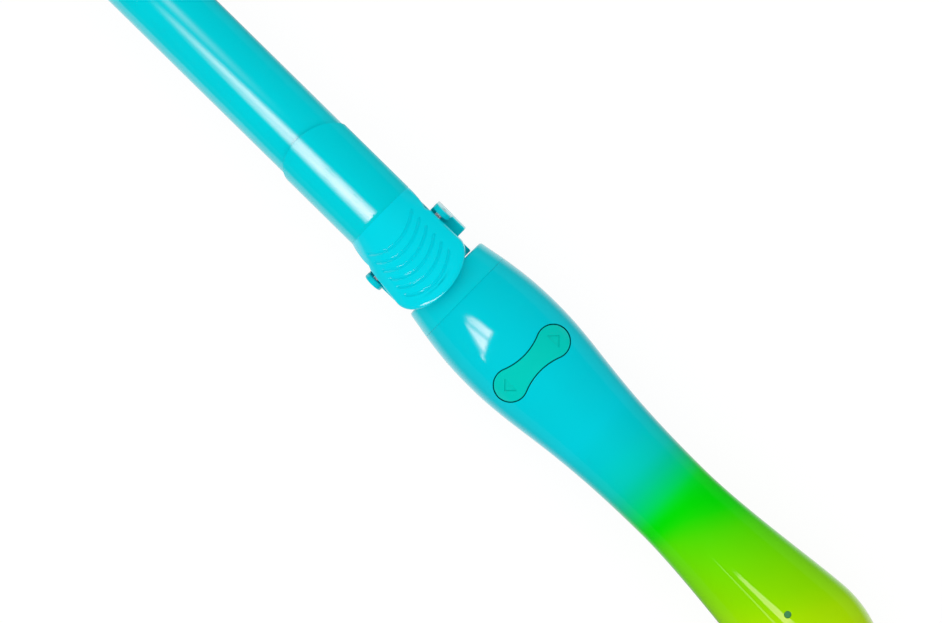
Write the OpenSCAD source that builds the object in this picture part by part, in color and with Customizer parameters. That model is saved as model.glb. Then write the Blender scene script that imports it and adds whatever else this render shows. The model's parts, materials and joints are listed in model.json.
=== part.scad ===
// Rotating curling iron: a motor in the handle turns the barrel and its clamp about their own axis.
// Lengths are in millimetres. The iron lies on its back along X, the barrel's tip at -X, the buttons up.
// In the modules X is the distance from the nose collar's front edge, and the spin axis is the X axis.

/* [Barrel] */
// Outer radius of the heated barrel
barrel_r = 12.7; // [12:0.1:13]
// Wall of the barrel tube
barrel_wall = 1.2; // [1:0.1:1.4]
// Distance from the collar to the barrel's tip
barrel_reach = 178; // [170:1:200]
// Length of the cool tip
tip_len = 20; // [16:1:24]
// Turn of the barrel and clamp about the spin axis, as the iron was put down
roll = 9; // [-20:0.5:20]

/* [Clamp] */
// Distance from the collar to the spoon's rounded end
spoon_reach = 67; // [60:1:90]
// Distance from the collar to the seam between spoon and lever
seam_reach = 30; // [29.5:0.1:30.2]
// Sheet thickness of the spoon
spoon_wall = 0.6; // [0.5:0.05:0.7]
// Gap between barrel and spoon
spoon_gap = 0.3; // [0.2:0.05:0.35]
// Radius of the lever's back at its tail
tail_rise = 23; // [22.5:0.1:24]
// Half width of the lever at its tail
lever_half_w = 15; // [14.9:0.1:15.1]
// How far the lever's tail reaches over the collar
tail_reach = 3.6; // [2:0.1:3.6]
// Wall of the lever
lever_wall = 1.9; // [1.8:0.1:2]
// Number of grooves in the thumb rest
grooves = 6; // [3:1:6]
// Distance from groove to groove
groove_pitch = 3.66; // [3:0.02:3.8]
// Radius of a groove's arc
groove_arc_r = 15.3; // [13:0.1:18]
// Width of a groove
groove_w = 1; // [0.6:0.1:1.2]
// Depth of a groove
groove_depth = 0.5; // [0.3:0.1:0.7]

/* [Hinge] */
// Distance from the collar to the hinge pin
pin_reach = 16; // [15.8:0.1:16.2]
// Height of the hinge pin over the spin axis
pin_z = 7.2; // [7:0.1:7.4]
// Radius of the hinge pin
pin_r = 1.25; // [1:0.05:1.35]
// Distance from the middle to an ear's outer face
ear_out = 17.3; // [17.2:0.1:17.4]
// Thickness of an ear
ear_t = 2; // [1.8:0.1:2]
// Radius of an ear's rounded head
ear_r = 3.4; // [3:0.1:3.4]

/* [Handle] */
// Radius of the collar behind its rounded front edge
nose_r = 16.85; // [16.5:0.05:17]
// Length of the collar
nose_len = 9.2; // [9:0.1:10]
// Radius where collar and handle meet
joint_r = 18.4; // [18.2:0.05:18.6]
// Radius of the belly under the rocker
belly_r = 20.25; // [19.9:0.05:20.4]
// Distance from the collar to the belly
belly_x = 32; // [31.5:0.5:33]
// Radius of the waist
waist_r = 15.1; // [15:0.1:15.6]
// Distance from the collar to the waist
waist_x = 106.5; // [104:0.5:108]
// Radius of the swell near the end
swell_r = 20.3; // [20.2:0.1:20.8]
// Distance from the collar to the swell
swell_x = 169; // [168:0.5:170]
// Length of the rounded end behind the swell
end_len = 29; // [28:0.5:30]
// Wall of the handle shells
wall = 2.2; // [2:0.1:2.3]
// Distance from the spin axis to the flats that the iron lies on
flat_depth = 19.4; // [19.2:0.1:19.6]

/* [Buttons] */
// Distance from the collar to the rocker
rocker_x = 40.2; // [40:0.1:40.8]
// Radius of the rocker's round ends
rocker_end_r = 5.5; // [5.4:0.1:5.8]
// Distance from the middle to the centre of a round end
rocker_end_y = 10.1; // [9.8:0.1:10.4]
// Width of the rocker's waist
rocker_waist = 7; // [7:0.1:8]
// Gap round the rocker and the power button
button_gap = 0.35; // [0.35:0.05:0.5]
// Distance from the collar to the indicator light
led_x = 158.2; // [157.5:0.1:161]
// Radius of the indicator light
led_r = 1.15; // [0.9:0.05:1.3]
// Distance from the collar to the power button
power_x = 171; // [170.5:0.5:172]
// Radius of the power button
power_r = 4.5; // [4:0.1:4.8]

/* [Drive] */
// Radius of the neck that turns in the front bush
neck_r = 8; // [7.8:0.1:8.1]
// Running clearance on the radius
run = 0.05; // [0.03:0.01:0.08]
// Outer radius of the hub tube
hub_r = 5; // [4.8:0.1:5.1]
// Outer radius of the slip rings
ring_r = 8.3; // [8.1:0.1:8.4]
// Distance from the collar to the gearbox
gearbox_x = 52; // [52:0.1:52.6]
// Radius of the gearbox
gearbox_r = 11; // [10:0.1:11.2]
// Radius of the motor
motor_r = 10.2; // [9:0.1:10.4]

/* [Cord inlet] */
// Radius of the bore for the cord
cord_bore_r = 3.6; // [3:0.1:4]
// Radius of the swivel's neck
swivel_r = 6; // [5.6:0.1:6.4]
// Distance from the collar to the swivel's mouth
swivel_x = 203; // [200:1:206]

/* [Hidden] */

$fn = 96;
curve_steps = 8;
far = 500;

turquoise = [0, 0.8, 0.85];
teal = [0, 0.78, 0.7];
lime = [0.6, 0.86, 0];
steel = [0.75, 0.76, 0.78];
brass = [0.8, 0.62, 0.3];
board_green = [0.1, 0.4, 0.2];
lamp_green = [0.2, 0.6, 0.35];
black = [0.12, 0.12, 0.13];
cream = [0.9, 0.88, 0.8];

// Barrel
barrel_in_r = barrel_r - barrel_wall;
barrel_end = -32.2;
tip_x = -barrel_reach + tip_len;
tip_plug_len = 8;
tip_round = 7;
spreader_x0 = -150;
spreader_x1 = -80;
spreader_r = barrel_in_r - 0.05;
// Each channel is [y, z, radius]
spreader_channels = [[-5.6, 5.2, 3.1], [5.6, 5.2, 3.1], [0, 7.9, 2.6]];
plate_t = 3;
plate_len = 26;
plate_xs = [-146, -116];
bead_x = -84;
fuse_x0 = -72;
fuse_x1 = -58;

// Clamp
spoon_in_r = barrel_r + spoon_gap;
spoon_out_r = spoon_in_r + spoon_wall;
spoon_end_len = 8.5;
// The spoon's edges stay this far above the spin axis
spoon_edge_z = 1.8;
tongue_r = spoon_out_r - lever_wall - 0.05;
tongue_x1 = -20.5;
tongue_half_w = 6;
tail_ellipse = 8.8;
lug_out = 14;
lug_t = 2;
lug_r = 3.2;
groove_x = -19.5;
groove_half_angle = 42;
screw_xs = [-28, -23.5];
screw_head_z = tongue_r - spoon_wall - 0.25;
screw_r = 1.1;

// Hinge base
base_r = barrel_r - 0.1;
spigot_len = 18;
base_x1 = -0.4;
relief_r = 10.9;
relief_z = 8.6;
ear_in = ear_out - ear_t;
ear_x0 = -pin_reach - ear_r;
ear_x1 = -6.7;
foot_z = 3.2;
pocket_half_len = 5.5;
pocket_z = 3.4;
neck_x1 = 15;
clip_x = 13.2;
clip_t = 1;
wire_bore_r = 2.6;
hub_x0 = -9.5;

// Clamp spring: a coil round the hinge pin with a leg to the base and a leg to the lever
spring_r = 2.15;
spring_wire_r = 0.45;
spring_pitch = 1.4;
spring_turns = 5;
spring_step = 45;
spring_sides = 6;
front_leg_angle = 13.7;
front_leg = 5.2;
back_leg_angle = 53;
back_leg = 16;

// Handle
mouth_r = 8;
end_turn = acos(mouth_r / swell_r);
end_x = swell_x + end_len * sin(end_turn);
cavity_x1 = 186.6;
lip_t = 0.9;
lip_h = 1.2;
screw_places = [[22, 12.5], [22, -12.5], [103, 0], [168, 12.5], [168, -12.5]];
boss_r = 3.2;
head_r = 2.4;
head_h = 1.6;
seat_z = -7;
screw_tip_z = 4;

// Drive
ring_xs = [18, 22.5, 27];
ring_w = 2.2;
ring_in_r = 7;
drum_x0 = 15.4;
drum_x1 = 29.6;
drum_r = 9;
coupler_x0 = 30;
coupler_x1 = 46;
hub_x1 = 36;
magnet_x = 32;
shaft_r = 2;
shaft_x1 = 57.5;
gearbox_len = 20;
motor_len = 25;
brush_z1 = -ring_r - 0.1;
brush_z0 = -15.4;

// Switches and boards
board_t = 1.2;
switch_board_z = 10.6;
switch_top = switch_board_z + board_t;
pivot_z = 14.3;
pivot_r = 1.2;
cradle_r = 2.4;
press_y = 8.5;
rocker_t = 2;
arrow_y = 9.95;
arrow_h = 2.95;
arrow_half_w = 2.85;
arrow_depth = 0.35;
control_z = 5;
control_top = control_z + board_t;
control_x0 = 108;
control_x1 = 179;

// Lying on its back: the flats are on z = 0, and the iron's middle is at x = 0
centre_x = (swivel_x - barrel_reach) / 2;
module fixed() translate([-centre_x, 0, flat_depth]) children();
module rolled() fixed() rotate([roll, 0, 0]) children();

// Solids along X
module rod(x0, x1, r) translate([x0, 0, 0]) rotate([0, 90, 0]) cylinder(h = x1 - x0, r = r);
module pipe(x0, x1, r, inner_r) difference() {
    rod(x0, x1, r);
    rod(x0 - 1, x1 + 1, inner_r);
}
module slab(x0, x1, half_w, z0, z1) translate([x0, -half_w, z0]) cube([x1 - x0, 2 * half_w, z1 - z0]);
module post(x, y, z0, z1, r) translate([x, y, z0]) cylinder(h = z1 - z0, r = r);
// Points are [x, radius]
module revolved(points) rotate([0, 90, 0]) rotate_extrude() polygon([for (p = points) [p[1], p[0]]]);
// An outline in X and Z, made half_w wide to each side
module from_side(half_w) rotate([90, 0, 0]) translate([0, 0, -half_w]) linear_extrude(2 * half_w) children();
// An outline in X and Y, raised from z0 to z1
module from_above(z0, z1) translate([0, 0, z0]) linear_extrude(z1 - z0) children();
module above(z) slab(-far, far, far, z, far);
module below(z) slab(-far, far, far, -far, z);

function bezier(p, t) = (1 - t)^3 * p[0] + 3 * (1 - t)^2 * t * p[1] + 3 * (1 - t) * t^2 * p[2] + t^3 * p[3];
// A curve's points without its last one, which starts the next curve
function stretch(p) = [for (i = [0:curve_steps - 1]) bezier(p, i / curve_steps)];
function arc(x, y, r, a0, a1, steps) = [for (i = [0:steps]) let (a = a0 + (a1 - a0) * i / steps)
    [x + r * cos(a), y + r * sin(a)]];
function inset(points, d) = [for (p = points) [p[0], p[1] - d]];

// The handle's outline from the collar's seam over belly, waist and swell to the cord's end
handle_line = concat(
    stretch([[nose_len, joint_r], [17, 19.6], [belly_x - 10, belly_r], [belly_x, belly_r]]),
    stretch([[belly_x, belly_r], [belly_x + 21, belly_r], [waist_x - 44, waist_r], [waist_x, waist_r]]),
    stretch([[waist_x, waist_r], [waist_x + 20, waist_r], [swell_x - 9, swell_r], [swell_x, swell_r]]),
    [for (i = [0:8]) let (a = end_turn * i / 8) [swell_x + end_len * sin(a), swell_r * cos(a)]]
);
module handle_body(d = 0) revolved(concat([[nose_len, 0]], inset(handle_line, d), [[end_x, 0]]));

// The lever's back from the side: it rises from the seam and flattens under the thumb
lever_line = concat(
    stretch([[-seam_reach, spoon_out_r], [-24, 15.8], [-12, 21], [tail_reach, tail_rise]]),
    [[tail_reach, tail_rise], [tail_reach + 2, tail_rise + 0.4]]
);
module lever_body(d, lead = 0) revolved(concat(
    [[-seam_reach - lead, 0], [-seam_reach - lead, spoon_out_r - d]],
    inset(lever_line, d),
    [[tail_reach + 2, 0]]
));
lever_tail_x = tail_reach - tail_ellipse;
module lever_plan() polygon(concat(
    [[-seam_reach, spoon_out_r], [-seam_reach, -spoon_out_r]],
    [for (a = [-90:7.5:90]) [lever_tail_x + tail_ellipse * cos(a), lever_half_w * sin(a)]]
));

// Barrel and what is sealed in it

module barrel_tube() color(turquoise) rolled() pipe(tip_x, barrel_end, barrel_r, barrel_in_r);

// A cup whose open end plugs into the tube
module cool_tip() color(turquoise) rolled() difference() {
    revolved(concat(
        [[tip_x + tip_plug_len, 0], [tip_x + tip_plug_len, spreader_r], [tip_x, spreader_r], [tip_x, barrel_r - 0.1]],
        arc(tip_round - barrel_reach, barrel_r - 0.2 - tip_round, tip_round, 90, 180, 6),
        [[-barrel_reach, 0]]
    ));
    rod(tip_round - barrel_reach, tip_x + tip_plug_len + 1, spreader_r - 2);
}

// Half a round bar with three lengthwise channels, for the leads and to save weight
module heat_spreader() difference() {
    intersection() {
        rod(spreader_x0, spreader_x1, spreader_r);
        above(plate_t / 2);
    }
    for (c = spreader_channels) translate([0, c[0], c[1]]) rod(spreader_x0 - 1, spreader_x1 + 1, c[2]);
}
module heat_spreader_upper() color(steel) rolled() heat_spreader();
module heat_spreader_lower() color(steel) rolled() mirror([0, 0, 1]) heat_spreader();

module heater_plates() color(cream) rolled()
    for (x = plate_xs) slab(x, x + plate_len, 8, -plate_t / 2, plate_t / 2);

module thermistor() color(black) rolled() {
    translate([bead_x, 0, 0]) sphere(r = 1.4);
    rod(bead_x + 0.5, bead_x + 8, 0.6);
}

module thermal_fuse() color(cream) rolled() {
    rod(fuse_x0, fuse_x1, 2);
    rod(fuse_x0 - 3, fuse_x1 + 3, 0.5);
}

// Hinge base: the spigot in the barrel, the body under the lever, the ears and the neck

module ear() difference() {
    union() {
        translate([-pin_reach, ear_out, pin_z]) rotate([90, 0, 0]) cylinder(h = ear_t, r = ear_r);
        translate([ear_x0, ear_in, 0]) cube([2 * ear_r, ear_t, pin_z]);
        translate([ear_x0, 0, 0]) rotate([90, 0, 90]) linear_extrude(ear_x1 - ear_x0)
            polygon([[9, foot_z], [ear_out - 0.4, foot_z], [ear_out - 0.4, -1], [12.4, -5], [9, -5]]);
    }
    // The front outer corner is chamfered
    translate([ear_x0, ear_out, 0]) rotate([0, 0, 45]) cube([1.4, 1.4, 60], center = true);
}

module hinge_base() color(turquoise) rolled() difference() {
    union() {
        rod(barrel_end - spigot_len, barrel_end + 1, spreader_r);
        intersection() {
            rod(barrel_end, base_x1, base_r);
            below(-0.5);
        }
        intersection() {
            rod(barrel_end, base_x1, relief_r);
            below(relief_z);
        }
        ear();
        mirror([0, 1, 0]) ear();
        rod(base_x1 - 1, neck_x1, neck_r);
    }
    slab(-pin_reach - pocket_half_len, -pin_reach + pocket_half_len, ear_in - 0.1, pocket_z, relief_z + 1);
    translate([-pin_reach, 0, pin_z]) rotate([90, 0, 0]) cylinder(h = 60, r = pin_r, center = true);
    pipe(clip_x, clip_x + clip_t, neck_r + 1, neck_r - 0.8);
    rod(hub_x0, neck_x1 + 1, hub_r);
    rod(barrel_end - spigot_len - 1, hub_x0 + 1, wire_bore_r);
}

module hinge_pin() color(steel) rolled() translate([-pin_reach, 0, pin_z]) rotate([90, 0, 0])
    cylinder(h = 2 * ear_out, r = pin_r, center = true);

// The spring's wire: centre line and outward direction of each ring, then the skin round them
front_turn = front_leg_angle - 90;
back_turn = back_leg_angle - 90 + 360 * spring_turns;
function radial(a) = [cos(a), 0, sin(a)];
function ahead(a) = [-sin(a), 0, cos(a)];
function coil_point(a) = [-pin_reach, spring_pitch * (a - (front_turn + back_turn) / 2) / 360, pin_z]
    + spring_r * radial(a);
spring_rings = concat(
    [[coil_point(front_turn) - front_leg * ahead(front_turn), radial(front_turn)]],
    [for (i = [0:floor((back_turn - front_turn) / spring_step)])
        let (a = front_turn + i * spring_step) [coil_point(a), radial(a)]],
    [[coil_point(back_turn), radial(back_turn)]],
    [[coil_point(back_turn) + back_leg * ahead(back_turn), radial(back_turn)]]
);
function wire_skin(rings) = [for (ring = rings) for (k = [0:spring_sides - 1])
    let (b = 360 * k / spring_sides) ring[0] + spring_wire_r * (cos(b) * ring[1] + sin(b) * [0, 1, 0])];
function wire_faces(n) = concat(
    [for (k = [1:spring_sides - 2]) [0, k, k + 1]],
    [for (i = [0:n - 2]) for (k = [0:spring_sides - 1]) let (m = (k + 1) % spring_sides, s = spring_sides)
        each [[i * s + k, (i + 1) * s + k, (i + 1) * s + m], [i * s + k, (i + 1) * s + m, i * s + m]]],
    [for (k = [1:spring_sides - 2]) let (e = (n - 1) * spring_sides) [e, e + k + 1, e + k]]
);
// The least gap between the wire and the same wire most of a turn further on
spring_gap = min([for (i = [0:len(spring_rings) - 1]) for (j = [i + 6:1:len(spring_rings) - 1])
    norm(spring_rings[i][0] - spring_rings[j][0])]) - 2 * spring_wire_r;
module clamp_spring() {
    echo("Clamp spring, least gap to itself", spring_gap);
    color(steel) rolled() polyhedron(wire_skin(spring_rings), wire_faces(len(spring_rings)));
}

// Drive train that turns with the barrel

module hub_tube() color(steel) rolled() pipe(hub_x0, hub_x1, hub_r, hub_r - 1.6);

module retaining_clip() color(steel) rolled() difference() {
    pipe(clip_x, clip_x + clip_t, neck_r + 1.6, neck_r - 0.8);
    slab(clip_x - 1, clip_x + clip_t + 1, 3, -20, 0);
}

module slip_ring_drum() color(black) rolled() difference() {
    pipe(drum_x0, drum_x1, drum_r, hub_r);
    for (x = ring_xs) pipe(x - ring_w / 2, x + ring_w / 2, drum_r + 1, ring_in_r);
}

module slip_rings() color(brass) rolled()
    for (x = ring_xs) pipe(x - ring_w / 2, x + ring_w / 2, ring_r, ring_in_r);

module drive_coupler() color(cream) rolled() difference() {
    union() {
        rod(coupler_x0, coupler_x0 + 4, drum_r);
        rod(coupler_x0, coupler_x0 + 8, 6.8);
        rod(coupler_x0, coupler_x1, 4.5);
    }
    rod(coupler_x0 - 1, hub_x1, hub_r);
    rod(hub_x1 - 1, coupler_x1 + 1, shaft_r);
    post(magnet_x, 0, 6.2, drum_r + 1, 1.2);
}

module home_magnet() color(steel) rolled() intersection() {
    post(magnet_x, 0, 6.2, drum_r + 1, 1.2);
    rod(magnet_x - 2, magnet_x + 2, drum_r - 0.1);
}

module output_shaft() color(steel) rolled() rod(hub_x1 + 1, shaft_x1, shaft_r);

// Clamp

// Nearly half a pipe over the barrel, rounded in front, with a tongue under the lever
module clamp_spoon() color(turquoise) rolled() difference() {
    union() {
        intersection() {
            pipe(-spoon_reach - 1, -seam_reach, spoon_out_r, spoon_in_r);
            from_above(spoon_edge_z, far) polygon(concat(
                [[-seam_reach, -spoon_out_r - 1], [-seam_reach, spoon_out_r + 1]],
                [for (a = [90:7.5:270])
                    [spoon_end_len * (1 + cos(a)) - spoon_reach, (spoon_out_r + 0.01) * sin(a)]]
            ));
        }
        intersection() {
            union() {
                pipe(-seam_reach - spoon_wall, -seam_reach, spoon_out_r, tongue_r - spoon_wall);
                pipe(-seam_reach - spoon_wall, tongue_x1, tongue_r, tongue_r - spoon_wall);
            }
            slab(-far, far, tongue_half_w, 0, far);
        }
    }
    for (x = screw_xs) post(x, 0, 0, 20, screw_r + 0.1);
}

// One crescent groove, its middle at x
module groove(x) from_above(0, 40) {
    polygon(concat(
        arc(x - groove_arc_r, 0, groove_arc_r + groove_w / 2, -groove_half_angle, groove_half_angle, 16),
        arc(x - groove_arc_r, 0, groove_arc_r - groove_w / 2, groove_half_angle, -groove_half_angle, 16)
    ));
    // Rounded ends
    for (a = [-groove_half_angle, groove_half_angle])
        translate([x - groove_arc_r * (1 - cos(a)), groove_arc_r * sin(a)]) circle(r = groove_w / 2 - 0.01);
}

// A flared shell cut to the lever's outline, with grooves, and a lug for the pin at each side
module clamp_lever() color(turquoise) rolled() difference() {
    union() {
        difference() {
            intersection() {
                lever_body(0);
                from_above(0, far) lever_plan();
            }
            lever_body(lever_wall, 1);
            // The side walls stay clear of the hinge base
            from_side(20) polygon([[-31, -1], [-31, 0.9], [-21, 9.5], [-12, 9.9], [10, 12], [10, -1]]);
        }
        intersection() {
            lever_body(0.3);
            for (side = [-1, 1]) translate([0, side * (lug_out - lug_t / 2), 0]) from_side(lug_t / 2) {
                translate([-pin_reach, pin_z]) circle(r = lug_r);
                translate([-pin_reach - lug_r, pin_z]) square([2 * lug_r, 6]);
            }
        }
        // Bosses that the tongue is screwed to
        intersection() {
            lever_body(0.3);
            difference() {
                for (x = screw_xs) post(x, 0, 5, 20, 2.6);
                rod(-60, 0, tongue_r);
            }
        }
    }
    difference() {
        for (i = [0:grooves - 1]) groove(groove_x + i * groove_pitch);
        lever_body(groove_depth);
    }
    for (x = screw_xs) post(x, 0, 0, 13, screw_r);
    translate([-pin_reach, 0, pin_z]) rotate([90, 0, 0]) cylinder(h = 40, r = pin_r + run, center = true);
}

module spoon_screws() color(steel) rolled() for (x = screw_xs) {
    post(x, 0, screw_head_z - 1.2, screw_head_z, 2);
    post(x, 0, screw_head_z - 1.2, 12.9, screw_r);
}

// Handle

// The collar holds the front bush and centres the two shells
module nose_collar() color(turquoise) fixed() revolved([
    [0, neck_r + 0.6], [0, nose_r - 0.85], [0.35, nose_r - 0.3], [1, nose_r], [nose_len, joint_r],
    [nose_len, joint_r - wall - 0.1], [nose_len + 4, joint_r - wall - 0.1], [nose_len + 4, 14.2],
    [3, 14.2], [3, 12.6], [11, 12.6], [11, neck_r + 2.4], [1.2, neck_r + 2.4], [1.2, neck_r + 0.6]
]);

module front_bush() color(brass) fixed() difference() {
    union() {
        rod(1.2, 12.6, neck_r + 2.4);
        rod(11, 12.6, 12.4);
    }
    rod(0, 14, neck_r + run);
}

// The rocker from above: two round ends joined by hollow sides, all grown by g
side_r = ((rocker_waist / 2)^2 + rocker_end_y^2 - rocker_end_r^2) / (2 * rocker_end_r - rocker_waist);
side_x = rocker_waist / 2 + side_r;
meet = atan(rocker_end_y / side_x);
module rocker_plan(g) translate([rocker_x, 0]) polygon(concat(
    arc(0, rocker_end_y, rocker_end_r + g, 180 + meet, -meet, 16),
    arc(side_x, 0, side_r - g, 180 - meet, 180 + meet, 10),
    arc(0, -rocker_end_y, rocker_end_r + g, meet, -180 - meet, 16),
    arc(-side_x, 0, side_r - g, -meet, meet, 10)
));

// The space between the shells, and the ribs in it that hold gearbox and motor
module cavity() intersection() {
    handle_body(wall);
    slab(nose_len - 1, cavity_x1, far, -far, far);
}
module drive_ribs() for (rib = [[56, gearbox_r], [90, motor_r]]) intersection() {
    handle_body(wall - 0.3);
    pipe(rib[0], rib[0] + 1.6, 30, rib[1] + 0.02);
}
module joint_lip(grow) intersection() {
    difference() {
        handle_body(wall - lip_t - grow);
        handle_body(wall);
    }
    slab(14.5, cavity_x1 - 2, far, -0.5 - grow, lip_h + grow);
}

module front_shell() color(turquoise) fixed() difference() {
    union() {
        difference() {
            handle_body();
            cavity();
        }
        drive_ribs();
        intersection() {
            handle_body(0.5);
            union() {
                for (p = screw_places) post(p[0], p[1], 0, 30, boss_r - 0.3);
                // Posts that the switch board hangs from
                for (x = [31.4, 48.4]) for (y = [-7.5, 7.5]) post(x, y, switch_top, 30, 1.6);
            }
        }
    }
    below(0);
    joint_lip(0.1);
    rod(cavity_x1 - 1, end_x + 1, swivel_r + run);
    for (p = screw_places) post(p[0], p[1], -1, screw_tip_z + 1, screw_r);
    from_above(5, 30) rocker_plan(button_gap);
    post(power_x, 0, 12, 30, power_r + 0.3);
    post(led_x, 0, 12, 30, led_r + 0.05);
}

module rear_shell() color(turquoise) fixed() difference() {
    union() {
        difference() {
            handle_body();
            cavity();
            above(0);
        }
        joint_lip(0);
        difference() {
            drive_ribs();
            above(0);
        }
        intersection() {
            handle_body(0.5);
            union() {
                for (p = screw_places) {
                    post(p[0], p[1], -30, 0, boss_r);
                    post(p[0], p[1], -30, seat_z + 1.5, boss_r + 0.6);
                }
                // Posts under the control board
                for (x = [110.5, 163]) for (y = [-6.5, 6.5]) post(x, y, -30, control_z, 1.8);
                // Pedestal under the brush block
                slab(17, 28, 5, -30, brush_z0);
            }
        }
    }
    below(-flat_depth);
    rod(cavity_x1 - 1, end_x + 1, swivel_r + run);
    for (p = screw_places) {
        post(p[0], p[1], -30, seat_z, head_r + 0.3);
        post(p[0], p[1], -30, 1, screw_r + 0.2);
    }
}

module housing_screws() color(steel) fixed() for (p = screw_places) difference() {
    union() {
        post(p[0], p[1], seat_z - head_h, seat_z, head_r);
        post(p[0], p[1], seat_z - head_h, screw_tip_z, screw_r);
    }
    // Cross recess
    for (a = [0, 90]) translate([p[0], p[1], seat_z - head_h]) rotate(a) cube([2.8, 0.7, 1.6], center = true);
}

module gearbox() color(steel) fixed() difference() {
    union() {
        rod(gearbox_x, gearbox_x + gearbox_len, gearbox_r);
        rod(gearbox_x - 2.5, gearbox_x + 1, 4);
    }
    rod(gearbox_x - 4, shaft_x1 + 0.5, shaft_r + run);
}

module motor() color(steel) fixed() {
    intersection() {
        rod(gearbox_x + gearbox_len, gearbox_x + gearbox_len + motor_len, motor_r);
        slab(0, far, motor_r - 1, -far, far);
    }
    rod(gearbox_x + gearbox_len + motor_len - 1, gearbox_x + gearbox_len + motor_len + 1.4, 3);
}

module brush_block() color(black) fixed() difference() {
    slab(ring_xs[0] - 2.2, ring_xs[2] + 2.2, 6.5, brush_z0, -drum_r - 0.6);
    for (x = ring_xs) slab(x - 0.95, x + 0.95, 2.05, brush_z0 - 1, 0);
}

module carbon_brushes() color(black) fixed() for (x = ring_xs) slab(x - 0.9, x + 0.9, 2, brush_z0, brush_z1);

// Switches and boards

module switch_board() color(board_green) fixed()
    slab(29.8, gearbox_x - 2.6, 10.5, switch_board_z, switch_top);

module rocker_switches() color(steel) fixed() for (side = [-1, 1]) translate([0, side * press_y, 0]) {
    slab(rocker_x - 2.3, rocker_x + 2.3, 2.3, switch_top, switch_top + 1.1);
    post(rocker_x, 0, switch_top + 1, switch_top + 1.5, 1);
}

// Two posts with the bores that the rocker's stub shafts turn in
module rocker_cradle() color(cream) fixed() difference() {
    for (side = [-1, 1]) translate([rocker_x + side * 5.9, 0, 0]) {
        slab(-1.1, 1.1, cradle_r, switch_top, pivot_z);
        translate([0, 0, pivot_z]) rod(-1.1, 1.1, cradle_r);
    }
    translate([0, 0, pivot_z]) rod(0, 80, pivot_r + run);
}

module home_sensor() color(black) fixed() slab(magnet_x - 1.8, magnet_x + 1.8, 2, 9.5, switch_board_z);

module arrow_rocker() color(teal) fixed() {
    difference() {
        intersection() {
            handle_body();
            from_above(5, 30) rocker_plan(0);
        }
        handle_body(rocker_t);
        // Arrows that point outwards
        difference() {
            for (side = [0, 1]) mirror([0, side, 0]) translate([rocker_x, arrow_y, 0]) from_above(5, 30)
                polygon([[-arrow_half_w, 0], [0, arrow_h], [arrow_half_w, 0]]);
            handle_body(arrow_depth);
        }
    }
    slab(rocker_x - 3.4, rocker_x + 3.4, 1.6, pivot_z, belly_r - rocker_t + 0.2);
    translate([0, 0, pivot_z]) {
        rod(rocker_x - 3.4, rocker_x + 3.4, 1.8);
        rod(rocker_x - 6.8, rocker_x + 6.8, pivot_r);
    }
    for (side = [-1, 1]) post(rocker_x, side * press_y, switch_top + 2.1, 16.4, 1.6);
}

module control_board() color(board_green) fixed() slab(control_x0, control_x1, 8.5, control_z, control_top);

// Capacitor, relay, triac on its cooling tab, choke and terminal block, all under the board
module board_parts() color(black) fixed() {
    post(117.5, 0, -6, control_z, 4);
    slab(124, 138, 6, -5, control_z);
    slab(141, 145, 5, -6, control_z);
    slab(149, 158, 5, -4, control_z);
    slab(168, 177, 6, -3, control_z);
}

module power_switch() color(steel) fixed() {
    slab(power_x - 2.3, power_x + 2.3, 2.3, control_top, control_top + 2.2);
    post(power_x, 0, control_top + 2, control_top + 2.8, 1);
}

module indicator_led() color(lamp_green) fixed()
    slab(led_x - 1.5, led_x + 1.5, 1.25, control_top, control_top + 1.4);

module light_pipe() color(lamp_green) fixed() intersection() {
    post(led_x, 0, control_top + 1.5, 30, led_r);
    handle_body();
}

// A low domed cap, a flange that keeps it in, and a stem down to its switch
module power_button() color(lime) fixed() {
    intersection() {
        post(power_x, 0, 16.8, 22, power_r);
        translate([power_x, 0, swell_r + 0.7 - 24]) sphere(r = 24);
    }
    post(power_x, 0, 15.9, 16.9, power_r + 1.5);
    post(power_x, 0, control_top + 4, 16, 1.8);
}

// The sleeve that the cord enters by turns freely in the handle's end
module cord_swivel() color(black) fixed() difference() {
    revolved([
        [183, 0], [183, 8.6], [cavity_x1 - 0.2, 8.6], [cavity_x1 - 0.2, swivel_r],
        [swivel_x - 1, swivel_r], [swivel_x, swivel_r - 0.8], [swivel_x, 0]
    ]);
    rod(182, swivel_x + 1, cord_bore_r);
}

barrel_tube();
cool_tip();
heat_spreader_upper();
heat_spreader_lower();
heater_plates();
thermistor();
thermal_fuse();
hinge_base();
hinge_pin();
clamp_spring();
hub_tube();
retaining_clip();
slip_ring_drum();
slip_rings();
drive_coupler();
home_magnet();
output_shaft();
clamp_spoon();
clamp_lever();
spoon_screws();
nose_collar();
front_bush();
front_shell();
rear_shell();
housing_screws();
gearbox();
motor();
brush_block();
carbon_brushes();
switch_board();
rocker_switches();
rocker_cradle();
home_sensor();
control_board();
board_parts();
power_switch();
indicator_led();
light_pipe();
arrow_rocker();
power_button();
cord_swivel();
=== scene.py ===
import json

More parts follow.
